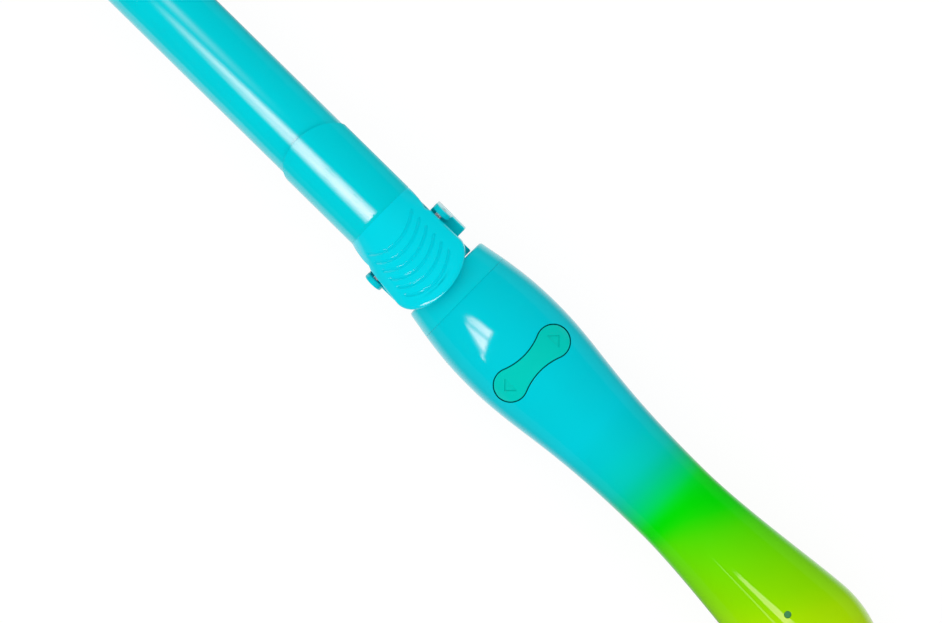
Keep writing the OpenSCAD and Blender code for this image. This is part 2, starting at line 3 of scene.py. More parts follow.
import bmesh
import bpy
import numpy as np
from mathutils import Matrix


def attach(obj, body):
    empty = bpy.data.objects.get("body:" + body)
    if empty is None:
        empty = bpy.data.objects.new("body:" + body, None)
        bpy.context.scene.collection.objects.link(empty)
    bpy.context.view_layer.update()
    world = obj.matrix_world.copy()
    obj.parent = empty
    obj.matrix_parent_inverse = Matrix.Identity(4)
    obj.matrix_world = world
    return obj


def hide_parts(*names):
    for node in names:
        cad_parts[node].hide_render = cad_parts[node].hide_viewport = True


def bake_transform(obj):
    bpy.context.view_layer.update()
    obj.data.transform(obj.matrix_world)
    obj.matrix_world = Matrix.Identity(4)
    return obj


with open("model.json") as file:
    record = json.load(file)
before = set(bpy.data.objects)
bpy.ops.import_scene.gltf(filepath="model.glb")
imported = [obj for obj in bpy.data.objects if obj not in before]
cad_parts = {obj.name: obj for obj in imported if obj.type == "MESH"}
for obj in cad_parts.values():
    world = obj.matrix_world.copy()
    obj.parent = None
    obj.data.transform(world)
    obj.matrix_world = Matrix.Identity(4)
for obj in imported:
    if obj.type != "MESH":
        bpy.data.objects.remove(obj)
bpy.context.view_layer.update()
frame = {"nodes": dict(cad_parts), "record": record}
print("frame loaded")

# Lengths are in mm: X is the distance from the collar's front edge, and the spin axis is the X axis
layout = {"middleX": 12.5, "axisHeight": 19.4, "clampTurn": 9.0, "pin": (-16.0, 7.2)}


def toFrame(points, turned):
    # Points turned about the spin axis with the clamp, if asked, then set down in the frame in metres
    turn = np.radians(layout["clampTurn"]) * turned
    x, y, z = np.moveaxis(points, -1, 0)
    placed = [x - layout["middleX"], y * np.cos(turn) - z * np.sin(turn),
              y * np.sin(turn) + z * np.cos(turn) + layout["axisHeight"]]
    return np.stack(placed, -1) / 1000


def bend(start, corner, end, steps=5, weight=0.75):
    # A rounded corner: a rational curve that leaves start towards the corner and reaches end from the corner
    start, corner, end = (np.asarray(p, float) for p in (start, corner, end))
    t = np.linspace(0, 1, steps + 1).reshape((-1,) + (1,) * start.ndim)
    a, b, c = (1 - t) ** 2, 2 * weight * t * (1 - t), t ** 2
    return (a * start + b * corner + c * end) / (a + b + c)


def rounded(corners, radius, steps=5, closed=True):
    # Each corner of an outline gives way to an arc that touches both its sides, with a point a little
    # further on to hold the flats flat
    c = np.asarray(corners, float)
    back, ahead = np.roll(c, 1, 0) - c, np.roll(c, -1, 0) - c
    backLength, aheadLength = (np.linalg.norm(v, axis=1, keepdims=True) for v in (back, ahead))
    back, ahead = back / backLength, ahead / aheadLength
    half = np.arccos(np.clip((back * ahead).sum(1, keepdims=True), -0.999999, 0.999999)) / 2
    size = np.broadcast_to(np.asarray(radius, float), len(c)).reshape(-1, 1).copy()
    if not closed:
        size[[0, -1]] = 0
    reach = np.minimum(size / np.tan(half), 0.4 * np.minimum(backLength, aheadLength))
    arcs = bend(c + back * reach, c, c + ahead * reach, steps, np.sin(half))
    points = np.concatenate([[c + back * reach * 1.2], arcs, [c + ahead * reach * 1.2]])
    points = np.moveaxis(points, 0, 1).reshape(-1, c.shape[1])
    apart = np.linalg.norm(points - np.roll(points, 1, 0), axis=1) > 1e-4
    apart[0] |= not closed
    return points[apart]


def bezier(controls, steps=200):
    # A cubic curve through its first and last point, drawn towards the two between
    t = np.linspace(0, 1, steps)[:, None]
    p = np.asarray(controls, float)
    return (1 - t) ** 3 * p[0] + 3 * (1 - t) ** 2 * t * p[1] + 3 * (1 - t) * t ** 2 * p[2] + t ** 3 * p[3]


def revolve(line, axis=0, centre=(0, 0, 0), segments=144):
    # (distance along the axis, radius) points carried round an axis through the centre
    turn = np.linspace(0, 2 * np.pi, segments, endpoint=False)
    along, r = np.asarray(line, float).T[:, :, None]
    points = np.stack([along + 0 * turn, r * np.sin(turn), r * np.cos(turn)], -1)
    return np.roll(points, axis, -1) + np.asarray(centre, float)
def unit(turn):
    # Points (cos, sin) of a circle of radius 1
    return np.stack([np.cos(turn), np.sin(turn)], -1)


def polar(x, r, angle):
    # Points at a radius from the spin axis and at an angle from straight up: (x, r sin angle, r cos angle)
    return np.stack(np.broadcast_arrays(x, r * np.sin(angle), r * np.cos(angle)), -1)


def quarter(size, steps=4):
    # How far a rounded edge is drawn in, size (1 - sin), and how far it has risen, size (1 - cos)
    turn = np.radians(np.linspace(0, 90, steps + 1))
    return size * (1 - np.sin(turn)), size * (1 - np.cos(turn))


def outward(outline):
    # Unit normals of a closed outline, square to the line between each point's neighbours
    along = np.roll(outline, -1, 0) - np.roll(outline, 1, 0)
    across = np.stack([along[:, 1], -along[:, 0]], -1)
    across /= np.linalg.norm(across, axis=1, keepdims=True)
    x, y = outline.T
    area = (x * np.roll(y, -1) - y * np.roll(x, -1)).sum()
    return across * np.sign(area)


def slabOf(outline, low, high, edge, axis, steps=4):
    # A closed outline carried from low to high, drawn in along its normals where its edges are round
    drawn, lift = quarter(edge, steps)
    rows = np.concatenate([np.stack([drawn, low + lift], -1), [[0, low + 1.3 * edge], [0, high - 1.3 * edge]],
                           np.stack([drawn, high - lift], -1)[::-1]])
    plan = outline - outward(outline) * rows[:, :1, None]
    heights = np.broadcast_to(rows[:, 1, None], plan.shape[:2])
    points = np.stack([heights, plan[..., 0], plan[..., 1]], -1)
    return {0: points, 1: points[..., [1, 0, 2]], 2: points[..., [1, 2, 0]]}[axis]


def grid(points, loopRows=False, loopColumns=False, caps=False, keep=None):
    # A patch of a piece: rows of points, closed round either way, or capped at both ends or the "last"
    return {"points": np.asarray(points, float), "loops": (loopRows, loopColumns), "caps": caps, "keep": keep}


def ringOf(corners, radius, segments=144):
    # A closed outline in x and radius with rounded corners, carried round the spin axis
    return grid(revolve(rounded(corners, radius), segments=segments), True, True)


def solidOf(corners, radius, axis=0, centre=(0, 0, 0), segments=144):
    # An outline from an axis out and back to it, with rounded corners, carried round that axis
    return grid(revolve(rounded(corners, radius, closed=False), axis, centre, segments), False, True)


def boxOf(x0, x1, y0, y1):
    # A rectangle's corners, up the side at x0 and down the side at x1
    return [[x0, y0], [x0, y1], [x1, y1], [x1, y0]]


def cellsOf(rows, columns, loopRows=False, loopColumns=False):
    # The four corners of each quad between the points of a grid
    i = np.arange(rows if loopRows else rows - 1)[:, None]
    j = np.arange(columns if loopColumns else columns - 1)[None, :]
    below, beside = (i + 1) % rows, (j + 1) % columns
    corners = [i * columns + j, i * columns + beside, below * columns + beside, below * columns + j]
    return np.stack(np.broadcast_arrays(*corners), -1)


def addObject(name, data):
    # An object of the scene, with its mesh, lamp or camera
    thing = bpy.data.objects.new(name, data)
    bpy.context.scene.collection.objects.link(thing)
    return thing


def buildPiece(name, patches, slot, body, node, turned=False, sharp=40):
    # Quads between the points of each grid; grids join where their edges meet, and faces turn outwards
    vertices, faces, start = [], [], 0
    for patch in patches:
        points = patch["points"]
        rows, columns = points.shape[:2]
        quads = start + cellsOf(rows, columns, *patch["loops"])
        if patch["keep"] is not None:
            quads = quads[patch["keep"]]
        faces += quads.reshape(-1, 4).tolist()
        ring = start + np.arange(columns)
        if patch["caps"] is True:
            faces.append(ring[::-1].tolist())
        if patch["caps"]:
            faces.append((ring + (rows - 1) * columns).tolist())
        vertices.append(toFrame(points, turned).reshape(-1, 3))
        start += rows * columns
    mesh = bpy.data.meshes.new(name)
    mesh.from_pydata(np.concatenate(vertices), [], faces)
    shape = bmesh.new()
    shape.from_mesh(mesh)
    bmesh.ops.remove_doubles(shape, verts=shape.verts, dist=2e-6)
    bmesh.ops.recalc_face_normals(shape, faces=shape.faces)
    shape.to_mesh(mesh)
    shape.free()
    mesh.shade_smooth()
    mesh.set_sharp_from_angle(angle=np.radians(sharp))
    piece = addObject(name, mesh)
    mesh.materials.append(materials[slot])
    if node:
        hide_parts(node)
    if body:
        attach(piece, body)
    print(name, len(mesh.polygons), "faces")
    return piece


def addNode(tree, kind, feeds=None, **settings):
    # One shader node: each feed is a value for a socket, or another node's output to link to it
    node = tree.nodes.new("ShaderNode" + kind)
    for key, value in settings.items():
        setattr(node, key, value)
    for socket, value in (feeds or {}).items():
        if isinstance(value, bpy.types.NodeSocket):
            tree.links.new(value, node.inputs[socket])
        else:
            node.inputs[socket].default_value = value
    return node


def addMath(tree, operation, *values):
    # The result of one sum, product or larger value, of numbers or of other nodes' outputs
    return addNode(tree, "Math", dict(enumerate(values)), operation=operation).outputs[0]


def addMix(tree, share, first, second):
    # The first value gives way to the second by a share
    return addNode(tree, "Mix", {"Factor": share, "A": first, "B": second}).outputs[0]


def addRange(tree, value, start, end, low=0.0, high=1.0, smooth=False):
    # A value from start to end becomes one from low to high, straight or in an S-curve, and no further
    feeds = {"Value": value, "From Min": start, "From Max": end, "To Min": low, "To Max": high}
    return addNode(tree, "MapRange", feeds,
                   interpolation_type="SMOOTHSTEP" if smooth else "LINEAR").outputs[0]


def addNoise(tree, where, scale, detail, distortion=0.0):
    # Smooth noise, about 0.5 and seldom under 0.3 or over 0.7
    feeds = {"Vector": where, "Scale": scale, "Detail": detail, "Distortion": distortion}
    return addNode(tree, "TexNoise", feeds).outputs["Fac"]


def addGroup(name, inputs, outputs):
    # A shader node group: inputs by label with a number, vector or colour each, and its outputs' labels
    group = bpy.data.node_groups.new(name, "ShaderNodeTree")
    for label, value in inputs.items():
        kind = {1: "Float", 3: "Vector", 4: "Color"}[np.size(value)]
        socket = group.interface.new_socket(name=label, in_out="INPUT", socket_type="NodeSocket" + kind)
        socket.default_value = value
    for label in outputs:
        kind = "Color" if label == "Color" else "Float"
        group.interface.new_socket(name=label, in_out="OUTPUT", socket_type="NodeSocket" + kind)
    return group, group.nodes.new("NodeGroupInput").outputs, addNode(group, "TexCoord").outputs["Object"]


def finishGroup(group, results):
    # Each result linked to the group's output of that label
    ends = group.nodes.new("NodeGroupOutput").inputs
    for label, value in results.items():
        group.links.new(value, ends[label])
    return group


def linear(red, green, blue):
    # A colour as it shows on screen, 0 to 255, as the linear values that a shader takes
    shown = np.array([red, green, blue]) / 255
    return (*np.where(shown < 0.04045, shown / 12.92, ((shown + 0.055) / 1.055) ** 2.4), 1.0)


def makeMottle():
    # The colour in soft patches of a value from 1 less the amount to 1 plus the amount
    group, given, where = addGroup("mottle", {"Color": (0.5, 0.5, 0.5, 1), "Scale": 60.0, "Amount": 0.03},
                                   ["Color"])
    noise = addNoise(group, where, given["Scale"], 3)
    low, high = (addMath(group, operation, 1.0, given["Amount"]) for operation in ("SUBTRACT", "ADD"))
    tone = addNode(group, "HueSaturation", {"Color": given["Color"],
                                            "Value": addRange(group, noise, 0.3, 0.7, low, high)})
    return finishGroup(group, {"Color": tone.outputs[0]})


def makeHandled():
    # Roughness that rises in soft smudges where hands have been, and along very fine wiping streaks
    group, given, where = addGroup("handled", {"Roughness": 0.1, "Spread": 0.05, "Scale": 45.0},
                                   ["Roughness"])
    stretched = addNode(group, "Mapping", {"Vector": where, "Scale": (60, 2500, 2500)}).outputs[0]
    smudge, streak = addNoise(group, where, given["Scale"], 5, 0.8), addNoise(group, stretched, 1, 2)
    more = addRange(group, addMix(group, 0.25, smudge, streak), 0.35, 0.7, 0.0, given["Spread"])
    return finishGroup(group, {"Roughness": addMath(group, "ADD", given["Roughness"], more)})


def makeMouldSkin():
    # Height of a moulded skin: fine grain, and the long soft waves of cooled plastic or settled paint
    group, given, where = addGroup("mouldSkin", {"Grain": 1.0, "Wave": 1.0, "Grain Scale": 6000.0,
                                                 "Wave Scale": 120.0}, ["Height"])
    fine = addMath(group, "MULTIPLY", addNoise(group, where, given["Grain Scale"], 2), given["Grain"])
    wave = addNoise(group, where, given["Wave Scale"], 1)
    return finishGroup(group, {"Height": addMath(group, "MULTIPLY_ADD", wave, given["Wave"], fine)})


def makeTurned():
    # Fine tool rings that run round the spin axis, as a height and as a change of roughness
    group, given, where = addGroup("turned", {"Roughness": 0.3, "Stretch": (9000, 90, 90)},
                                   ["Height", "Roughness"])
    thin = addNode(group, "VectorMath", {0: where, 1: given["Stretch"]}, operation="MULTIPLY").outputs[0]
    rings = addNoise(group, thin, 1, 3)
    rough = addMath(group, "ADD", given["Roughness"], addRange(group, rings, 0.3, 0.7, -0.08, 0.1))
    return finishGroup(group, {"Height": rings, "Roughness": rough})


handleColours = {
    # Colour of the handle at distances from the collar; only the far part of the fade leans across the handle
    "stops": [(70, (0, 203, 217)), (75, (0, 201, 210)), (80, (0, 200, 205)), (85, (0, 201, 196)),
              (90, (0, 200, 185)), (95, (0, 200, 153)), (100, (0, 208, 115)), (105, (0, 217, 47)),
              (107, (0, 218, 20)), (108.5, (0, 219, 5)), (110, (1, 219, 1)), (113, (20, 219, 1)),
              (117, (52, 218, 1)), (121, (76, 218, 1)), (125, (90, 218, 1)), (129, (100, 218, 1)),
              (133, (109, 218, 1)), (137, (117, 218, 1)), (141, (124, 218, 0)), (145, (131, 218, 0)),
              (150, (138, 219, 0)), (155, (149, 220, 0)), (160, (162, 221, 1)), (165, (168, 222, 2)),
              (171, (178, 215, 1)), (185, (176, 206, 0))],
    "lean": -0.6, "leanRise": (104.0, 118.0), "from": 60.0, "to": 200.0,
}


def makeFade():
    # The handle's colour, read from a ramp by the distance from the collar, plus a share of the distance to
    # the side that grows along the waist
    s = handleColours
    group, _, where = addGroup("handleFade", {}, ["Color"])
    parts = addNode(group, "SeparateXYZ", {0: where}).outputs
    low, high, start, end = (np.array([*s["leanRise"], s["from"], s["to"]]) - layout["middleX"]) / 1000
    lean = addRange(group, parts["X"], low, high, 0.0, s["lean"], True)
    slant = addMath(group, "MULTIPLY_ADD", parts["Y"], lean, parts["X"])
    ramp = addNode(group, "ValToRGB", {"Fac": addRange(group, slant, start, end)})
    stops = ramp.color_ramp.elements
    for index, (x, shown) in enumerate(s["stops"]):
        share = (x - s["from"]) / (s["to"] - s["from"])
        stop = stops[index] if index < 2 else stops.new(share)
        stop.position, stop.color = share, linear(*shown)
    return finishGroup(group, {"Color": ramp.outputs["Color"]})


groups = {"mottle": makeMottle(), "handled": makeHandled(), "mouldSkin": makeMouldSkin(),
          "turned": makeTurned(), "handleFade": makeFade()}
usualLook = {"mottle": 0.015, "patch": 60, "smudge": 0.03, "grain": 1.0, "grainScale": 6000, "wave": 1.0,
             "waveScale": 120, "bump": 8e-6, "shader": {"IOR": 1.5}}
finishes = {
    "barrel_finish": {"colour": linear(0, 206, 217), "roughness": 0.04, "grain": 0.25, "bump": 1.2e-5},
    "spoon_finish": {"colour": linear(0, 206, 217), "roughness": 0.035, "smudge": 0.025, "grain": 0.2,
                     "bump": 1e-5},
    # The lever's colour is the barrel's turquoise made lighter: painted light standing in for a back that
    # faces the lamps more, not a lighter plastic
    "lever_plastic": {"colour": linear(0, 216, 232), "mottle": 0.01, "roughness": 0.055, "smudge": 0.035,
                      "wave": 0.5},
    "base_plastic": {"colour": linear(0, 207, 220), "mottle": 0.02, "roughness": 0.07, "smudge": 0.04,
                     "grain": 0.3, "bump": 1e-5},
    "handle_plastic": {"fade": True, "mottle": 0.012, "roughness": 0.04, "grain": 0.15},
    "rocker_plastic": {"colour": linear(0, 202, 188), "roughness": 0.06, "smudge": 0.04, "grain": 0.8,
                       "wave": 0.5},
    "button_plastic": {"colour": linear(170, 212, 2), "roughness": 0.2, "smudge": 0.1, "grain": 0.6,
                       "wave": 0.5},
    "lamp_lens": {"colour": linear(86, 168, 104), "mottle": 0.05, "patch": 900, "roughness": 0.12,
                  "smudge": 0.05, "grain": 0.4, "wave": 0.4, "bump": 6e-6,
                  "shader": {"IOR": 1.49, "Transmission Weight": 0.35}},
    "black_plastic": {"colour": linear(34, 34, 36), "mottle": 0.08, "roughness": 0.42, "smudge": 0.15,
                      "wave": 0.4, "grainScale": 4500, "bump": 2e-5},
    "white_plastic": {"colour": linear(232, 228, 214), "mottle": 0.04, "roughness": 0.5, "smudge": 0.12,
                      "wave": 0.4, "grainScale": 3500, "bump": 2e-5},
    "circuit_board": {"colour": linear(24, 96, 52), "mottle": 0.25, "patch": 500, "roughness": 0.28,
                      "smudge": 0.1, "grain": 0.6, "waveScale": 700, "bump": 2.5e-5, "shader": {"IOR": 1.55}},
    "steel": {"colour": linear(196, 198, 202), "mottle": 0.05, "roughness": 0.26, "turned": (900, 900, 9000),
              "bump": 3e-6, "shader": {"Metallic": 1.0}},
    "aluminium": {"colour": linear(214, 216, 218), "mottle": 0.05, "roughness": 0.36,
                  "turned": (60, 7000, 7000), "bump": 5e-6, "shader": {"Metallic": 1.0}},
    "brass": {"colour": linear(222, 180, 104), "mottle": 0.07, "roughness": 0.24, "turned": (9000, 120, 120),
              "bump": 4e-6, "shader": {"Metallic": 1.0}},
}


def newMaterial(name):
    # A material made of nodes, and its tree
    material = bpy.data.materials.new(name)
    material.use_nodes = True
    return material, material.node_tree


def makeFinish(name, own):
    # A finish from shared groups: mottled colour, handled gloss and a moulded or turned skin as bump
    look = {**usualLook, **own}
    material, tree = newMaterial(name)
    shader = tree.nodes["Principled BSDF"].inputs

    def share(group, feeds=None):
        # One use of a shared group, with its own values
        return addNode(tree, "Group", feeds, node_tree=groups[group]).outputs
    colour = share("handleFade")["Color"] if "fade" in look else look["colour"]
    tone = share("mottle", {"Color": colour, "Scale": look["patch"], "Amount": look["mottle"]})
    if "turned" in look:
        skin = gloss = share("turned", {"Roughness": look["roughness"], "Stretch": look["turned"]})
    else:
        skin = share("mouldSkin", {"Grain": look["grain"], "Wave": look["wave"],
                                   "Grain Scale": look["grainScale"], "Wave Scale": look["waveScale"]})
        gloss = share("handled", {"Roughness": look["roughness"], "Spread": look["smudge"]})
    bump = addNode(tree, "Bump", {"Height": skin["Height"], "Strength": 1.0, "Distance": look["bump"]})
    tree.links.new(tone["Color"], shader["Base Color"])
    tree.links.new(gloss["Roughness"], shader["Roughness"])
    tree.links.new(bump.outputs["Normal"], shader["Normal"])
    for socket, value in look["shader"].items():
        shader[socket].default_value = value
    return material


materials = {name: makeFinish(name, own) for name, own in finishes.items()}
print("materials made")


barrel = {"radius": 12.7, "wall": 1.2, "tipX": -158.0, "endX": -32.2, "edge": 0.25}


def makeBarrel(s):
    # A tube: its wall's outline with rounded corners, carried round the axis
    wall = boxOf(s["tipX"], s["endX"], s["radius"] - s["wall"], s["radius"])
    buildPiece("barrelTube", [ringOf(wall, s["edge"])], "barrel_finish", "barrel", "barrel_tube", turned=True)


tip = {"reach": 178.0, "joint": -158.0, "plug": 8.0, "plugRadius": 11.45, "bore": 9.45, "boreX": -171.0,
       "radius": 12.6, "round": 7.0, "edge": 0.35}


def makeTip(s):
    # A cup: a dome of a quarter arc, a rim that meets the tube, and a plug that goes into it
    turn = np.radians(np.linspace(180, 90, 28))
    centre = np.array([s["round"] - s["reach"], s["radius"] - 0.1 - s["round"]])
    dome = centre + s["round"] * unit(turn)
    rim = rounded([dome[-1], [s["joint"], s["radius"]], [s["joint"], s["plugRadius"]],
                   [s["joint"] + s["plug"], s["plugRadius"]], [s["joint"] + s["plug"], s["bore"]],
                   [s["boreX"], s["bore"]], [s["boreX"], 0]], [0, s["edge"], 0.1, 0.3, 0.2, 0.5, 0],
                   closed=False)
    line = np.concatenate([[[-s["reach"], 0]], dome, rim[1:]])
    buildPiece("coolTip", [grid(revolve(line), False, True)], "base_plastic", "barrel", "cool_tip",
               turned=True)


makeBarrel(barrel)
makeTip(tip)


spoon = {"inner": 13.0, "outer": 13.6, "front": -67.0, "frontLength": 8.5, "back": -30.0, "joggle": 0.9,
         "tongueRadius": 11.65, "tongueHalfWidth": 6.0, "tongueEnd": -20.5, "edge": 0.12, "halfAngle": 82.4}


def makeSpoon(s):
    # Nearly half a pipe whose front edge is half an ellipse, x = front + length (1 - cos angle), with a
    # narrow tongue that steps down behind it; Solidify gives the sheet its thickness and Bevel rounds its rim
    reach = np.degrees(np.arcsin(s["tongueHalfWidth"] / s["outer"]))
    inside, beside = np.linspace(-reach, reach, 13), np.linspace(reach, s["halfAngle"], 25)
    angle = np.radians(np.concatenate([-beside[:0:-1], inside, beside[1:]]))
    front = s["front"] + s["frontLength"] * (1 - np.cos(angle))
    share = np.concatenate([np.linspace(0, 1, 12) ** 1.6 * 0.3, np.linspace(0.34, 1, 18)])[:, None]
    x = front * (1 - share) + s["back"] * share
    points = polar(x, s["outer"], angle)
    run = np.linspace(0, 1, 9)[:, None]
    step = run ** 2 * (3 - 2 * run)
    down = s["outer"] + (s["tongueRadius"] - s["outer"]) * step
    stepX = s["back"] + s["joggle"] * run
    flat = np.linspace(s["back"] + s["joggle"], s["tongueEnd"], 8)[1:, None]
    radius = np.concatenate([down, s["tongueRadius"] + 0 * flat])
    tongue = polar(np.concatenate([stepX, flat]), radius, np.radians(inside))
    piece = buildPiece("clampSpoon", [grid(points), grid(tongue)], "spoon_finish", None, "clamp_spoon",
                       turned=True)
    sheet = piece.modifiers.new("sheet", "SOLIDIFY")
    sheet.thickness, sheet.offset, sheet.use_even_offset = (s["outer"] - s["inner"]) / 1000, -1, True
    rim = piece.modifiers.new("rim", "BEVEL")
    rim.width, rim.segments, rim.limit_method, rim.angle_limit = s["edge"] / 1000, 3, "ANGLE", np.radians(50)
    rim.harden_normals = False
    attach(piece, "clamp")


lever = {
    "back": [[-30.0, 13.6], [-24.0, 15.8], [-12.0, 21.0], [3.6, 23.0]], "backEnd": [5.6, 23.4], "wall": 1.9,
    "frontHalf": 13.6, "halfWidth": 15.0, "tail": 8.8, "tailX": 3.6,
    "sideCut": [[-31.0, 0.9], [-21.0, 9.5], [-12.0, 9.9], [10.0, 12.0]], "overCut": 0.8,
    "grooves": 6, "firstGroove": -19.5, "pitch": 3.66, "arc": 15.3, "grooveAngle": 42.0,
    "grooveHalf": 0.62, "grooveDepth": 0.5, "grooveLines": [0.17, 0.33, 0.45, 0.54, 0.6, 0.66, 0.75, 0.95],
    "columns": (0.86, 73, 12), "band": 3.4, "sideRoll": 0.8, "tailRoll": 3.0, "tailDrop": 1.7,
    "frontEdge": 0.1, "lugY": (12.0, 14.0), "lugRadius": 3.2, "lugTops": (14.6, 12.6), "lugRoof": 1.2,
    "lugEdge": 0.2, "screws": (-28.0, -23.5), "boss": 2.6, "bossFrom": 11.7, "bossRoof": 1.0,
}


def leverRadius(s, x):
    # The lever's back as a radius about the spin axis, with the same straight end as the solid's
    line = np.concatenate([bezier(s["back"], 400), [s["backEnd"]]])
    return np.interp(x, *line.T)


def leverHalfWidth(s, x):
    # Half the lever's width from above: a straight taper, then half an ellipse
    centre = s["tailX"] - s["tail"]
    share = (x - s["back"][0][0]) / (centre - s["back"][0][0])
    taper = s["frontHalf"] + (s["halfWidth"] - s["frontHalf"]) * share
    end = s["halfWidth"] * np.sqrt(np.clip(1 - ((x - centre) / s["tail"]) ** 2, 0, 1))
    return np.where(x < centre, np.minimum(taper, s["halfWidth"]), end)


def leverRim(s, x, inset=0.0):
    # The angle about the axis at which the outer skin, or a skin set in from it, reaches the outline or the
    # side cut; the outer skin stops a little over the cut
    radius = leverRadius(s, x) - inset
    width = np.clip(leverHalfWidth(s, x) / radius, 0, 1)
    cut = np.interp(x, *np.transpose(s["sideCut"])) + (0 if inset else s["overCut"])
    return np.minimum(np.arcsin(width), np.arccos(np.clip(cut / radius, -1, 1)))


def grooveDepth(s, x, y):
    # Depth below the back: for each groove a round-bottomed channel along an arc, closed by half circles
    centres = s["firstGroove"] + s["pitch"] * np.arange(s["grooves"]) - s["arc"]
    away = x[..., None] - centres
    radius, angle = np.hypot(away, y[..., None]), np.abs(np.arctan2(y[..., None], away))
    past = np.clip(angle - np.radians(s["grooveAngle"]), 0, None) * s["arc"]
    near = np.hypot(radius - s["arc"], past).min(-1) / s["grooveHalf"]
    return s["grooveDepth"] * np.clip(1 - near ** 2.6, 0, 1)


def makeLever(s):
    # A grid in x and angle about the axis whose lines follow the grooves, a band round its open sides whose
    # rows roll over the rim, and the same again for the inner skin
    far, middle, sides = s["columns"]
    v = np.concatenate([np.linspace(-1, -far, sides)[:-1], np.linspace(-far, far, middle),
                        np.linspace(far, 1, sides)[1:]])
    lines = np.array(s["grooveLines"])
    offsets = np.concatenate([-lines[::-1], [0], lines])
    centres = np.repeat(s["firstGroove"] + s["pitch"] * np.arange(s["grooves"]) - s["arc"], len(offsets))
    reach = s["arc"] + np.tile(offsets, s["grooves"])
    x = (centres + reach)[:, None] + 0 * v
    for _ in range(40):  # x and the width there settle together
        half = leverRim(s, x) - s["band"] / leverRadius(s, x)
        y = leverRadius(s, x) * np.sin(v * half)
        x = 0.5 * x + 0.5 * (centres[:, None] + np.sqrt(np.clip(reach[:, None] ** 2 - y ** 2, 1, None)))
    front = s["back"][0][0]
    lead = np.linspace(0, 1, 14)[:-1, None]
    x = np.concatenate([front + s["frontEdge"] * 1.4 + (x[0] - front - s["frontEdge"] * 1.4) * lead, x])
    angle = v * (leverRim(s, x) - s["band"] / leverRadius(s, x))

    # Rim points round the tail, and the direction inwards from them in the skin
    turn = v * np.pi / 2
    tailX = s["tailX"] - s["tail"] * (1 - np.cos(turn))
    radius = leverRadius(s, tailX)
    tailAngle = np.arcsin(np.clip(s["halfWidth"] * np.sin(turn) / radius, -1, 1))
    across = np.stack([np.cos(turn) / s["tail"], np.sin(turn) / s["halfWidth"]])
    across /= np.linalg.norm(across, axis=0)
    lastX, lastAngle = tailX - across[0] * s["band"], tailAngle - across[1] * s["band"] / radius
    blendIn = np.linspace(0, 1, 8)[1:, None]
    x = np.concatenate([x, x[-1] + (lastX - x[-1]) * blendIn])
    angle = np.concatenate([angle, angle[-1] + (lastAngle - angle[-1]) * blendIn])

    # The band: feet on the rim for every point of the grid's open border, from left front round the tail
    borderX = np.concatenate([x[:-1, 0], x[-1], x[-2::-1, -1]])
    borderAngle = np.concatenate([angle[:-1, 0], angle[-1], angle[-2::-1, -1]])
    rimX = np.concatenate([x[:-1, 0], tailX, x[-2::-1, -1]])
    rimAngle = np.concatenate([-leverRim(s, x[:-1, 0]), tailAngle, leverRim(s, x[-2::-1, -1])])
    sideCount = len(x) - 1
    bearing = np.concatenate([np.full(sideCount, -np.pi / 2), turn, np.full(sideCount, np.pi / 2)])
    tailShare = np.cos(bearing) ** 1.2
    roll = s["sideRoll"] + (s["tailRoll"] - s["sideRoll"]) * tailShare
    drop = s["sideRoll"] + (s["tailDrop"] - s["sideRoll"]) * tailShare

    def skin(px, pa, inset=0.0):
        # A point of the skin; the inner skin's angles are squeezed so that its rim has its own outline
        r = leverRadius(s, px)
        if inset:
            rim = leverRim(s, px)
            pa = pa * np.where(rim > 1e-6, leverRim(s, px, inset) / np.maximum(rim, 1e-6), r / (r - inset))
            r = r - inset
        else:
            r = r - grooveDepth(s, px, r * np.sin(pa))
        return polar(px, r, pa)

    def between(share):
        # The border's points moved by a share of the way to their feet on the rim
        return borderX + (rimX - borderX) * share, borderAngle + (rimAngle - borderAngle) * share

    inward = [between(1 - roll * k / s["band"]) for k in (1.25, 1.1)]
    rows = [skin(*between(k)) for k in np.linspace(0, 0.4 * (1 - s["tailRoll"] / s["band"]), 2)]
    rows += [skin(*p) for p in inward]
    start, corner = skin(*between(1 - roll / s["band"])), skin(rimX, rimAngle)
    innerCorner = skin(rimX, rimAngle, s["wall"])
    bottom = np.column_stack([corner[:, :2], innerCorner[:, 2]])
    fall = np.minimum(drop, 0.8 * (corner[:, 2] - bottom[:, 2]))
    end = corner - np.stack([0 * fall, 0 * fall, fall], -1)
    rows += list(bend(start, corner, end, 9, 0.72))
    low = bottom + np.array([0, 0, 1.0]) * np.minimum(0.3, 0.15 * (corner[:, 2] - bottom[:, 2]))[:, None]
    innerStart = skin(*between(1 - 0.4 / s["band"]), s["wall"])
    rows += [0.5 * (end + low), low, bottom, innerCorner, innerStart, skin(*between(0.6), s["wall"]),
             skin(*between(0), s["wall"])]
    band = np.array(rows)

    # The front face that meets the spoon: the section's whole outline, rounded forwards and closed
    outer, inner = skin(x, angle), skin(x, angle, s["wall"])
    loop = np.concatenate([outer[0], band[1:, -1], inner[0, -2::-1], band[-2:0:-1, 0]])
    turn = np.radians(np.linspace(0, 90, 4))[:, None, None]
    shrunk = loop[:, 1:] - outward(loop[:, 1:]) * s["frontEdge"] * (1 - np.cos(turn))
    ahead = loop[:, :1] + 0 * turn - (loop[0, 0] - front) * np.sin(turn)
    face = grid(np.concatenate([ahead, shrunk], -1), False, True, "last")
    return [grid(outer), grid(band), grid(inner), face]


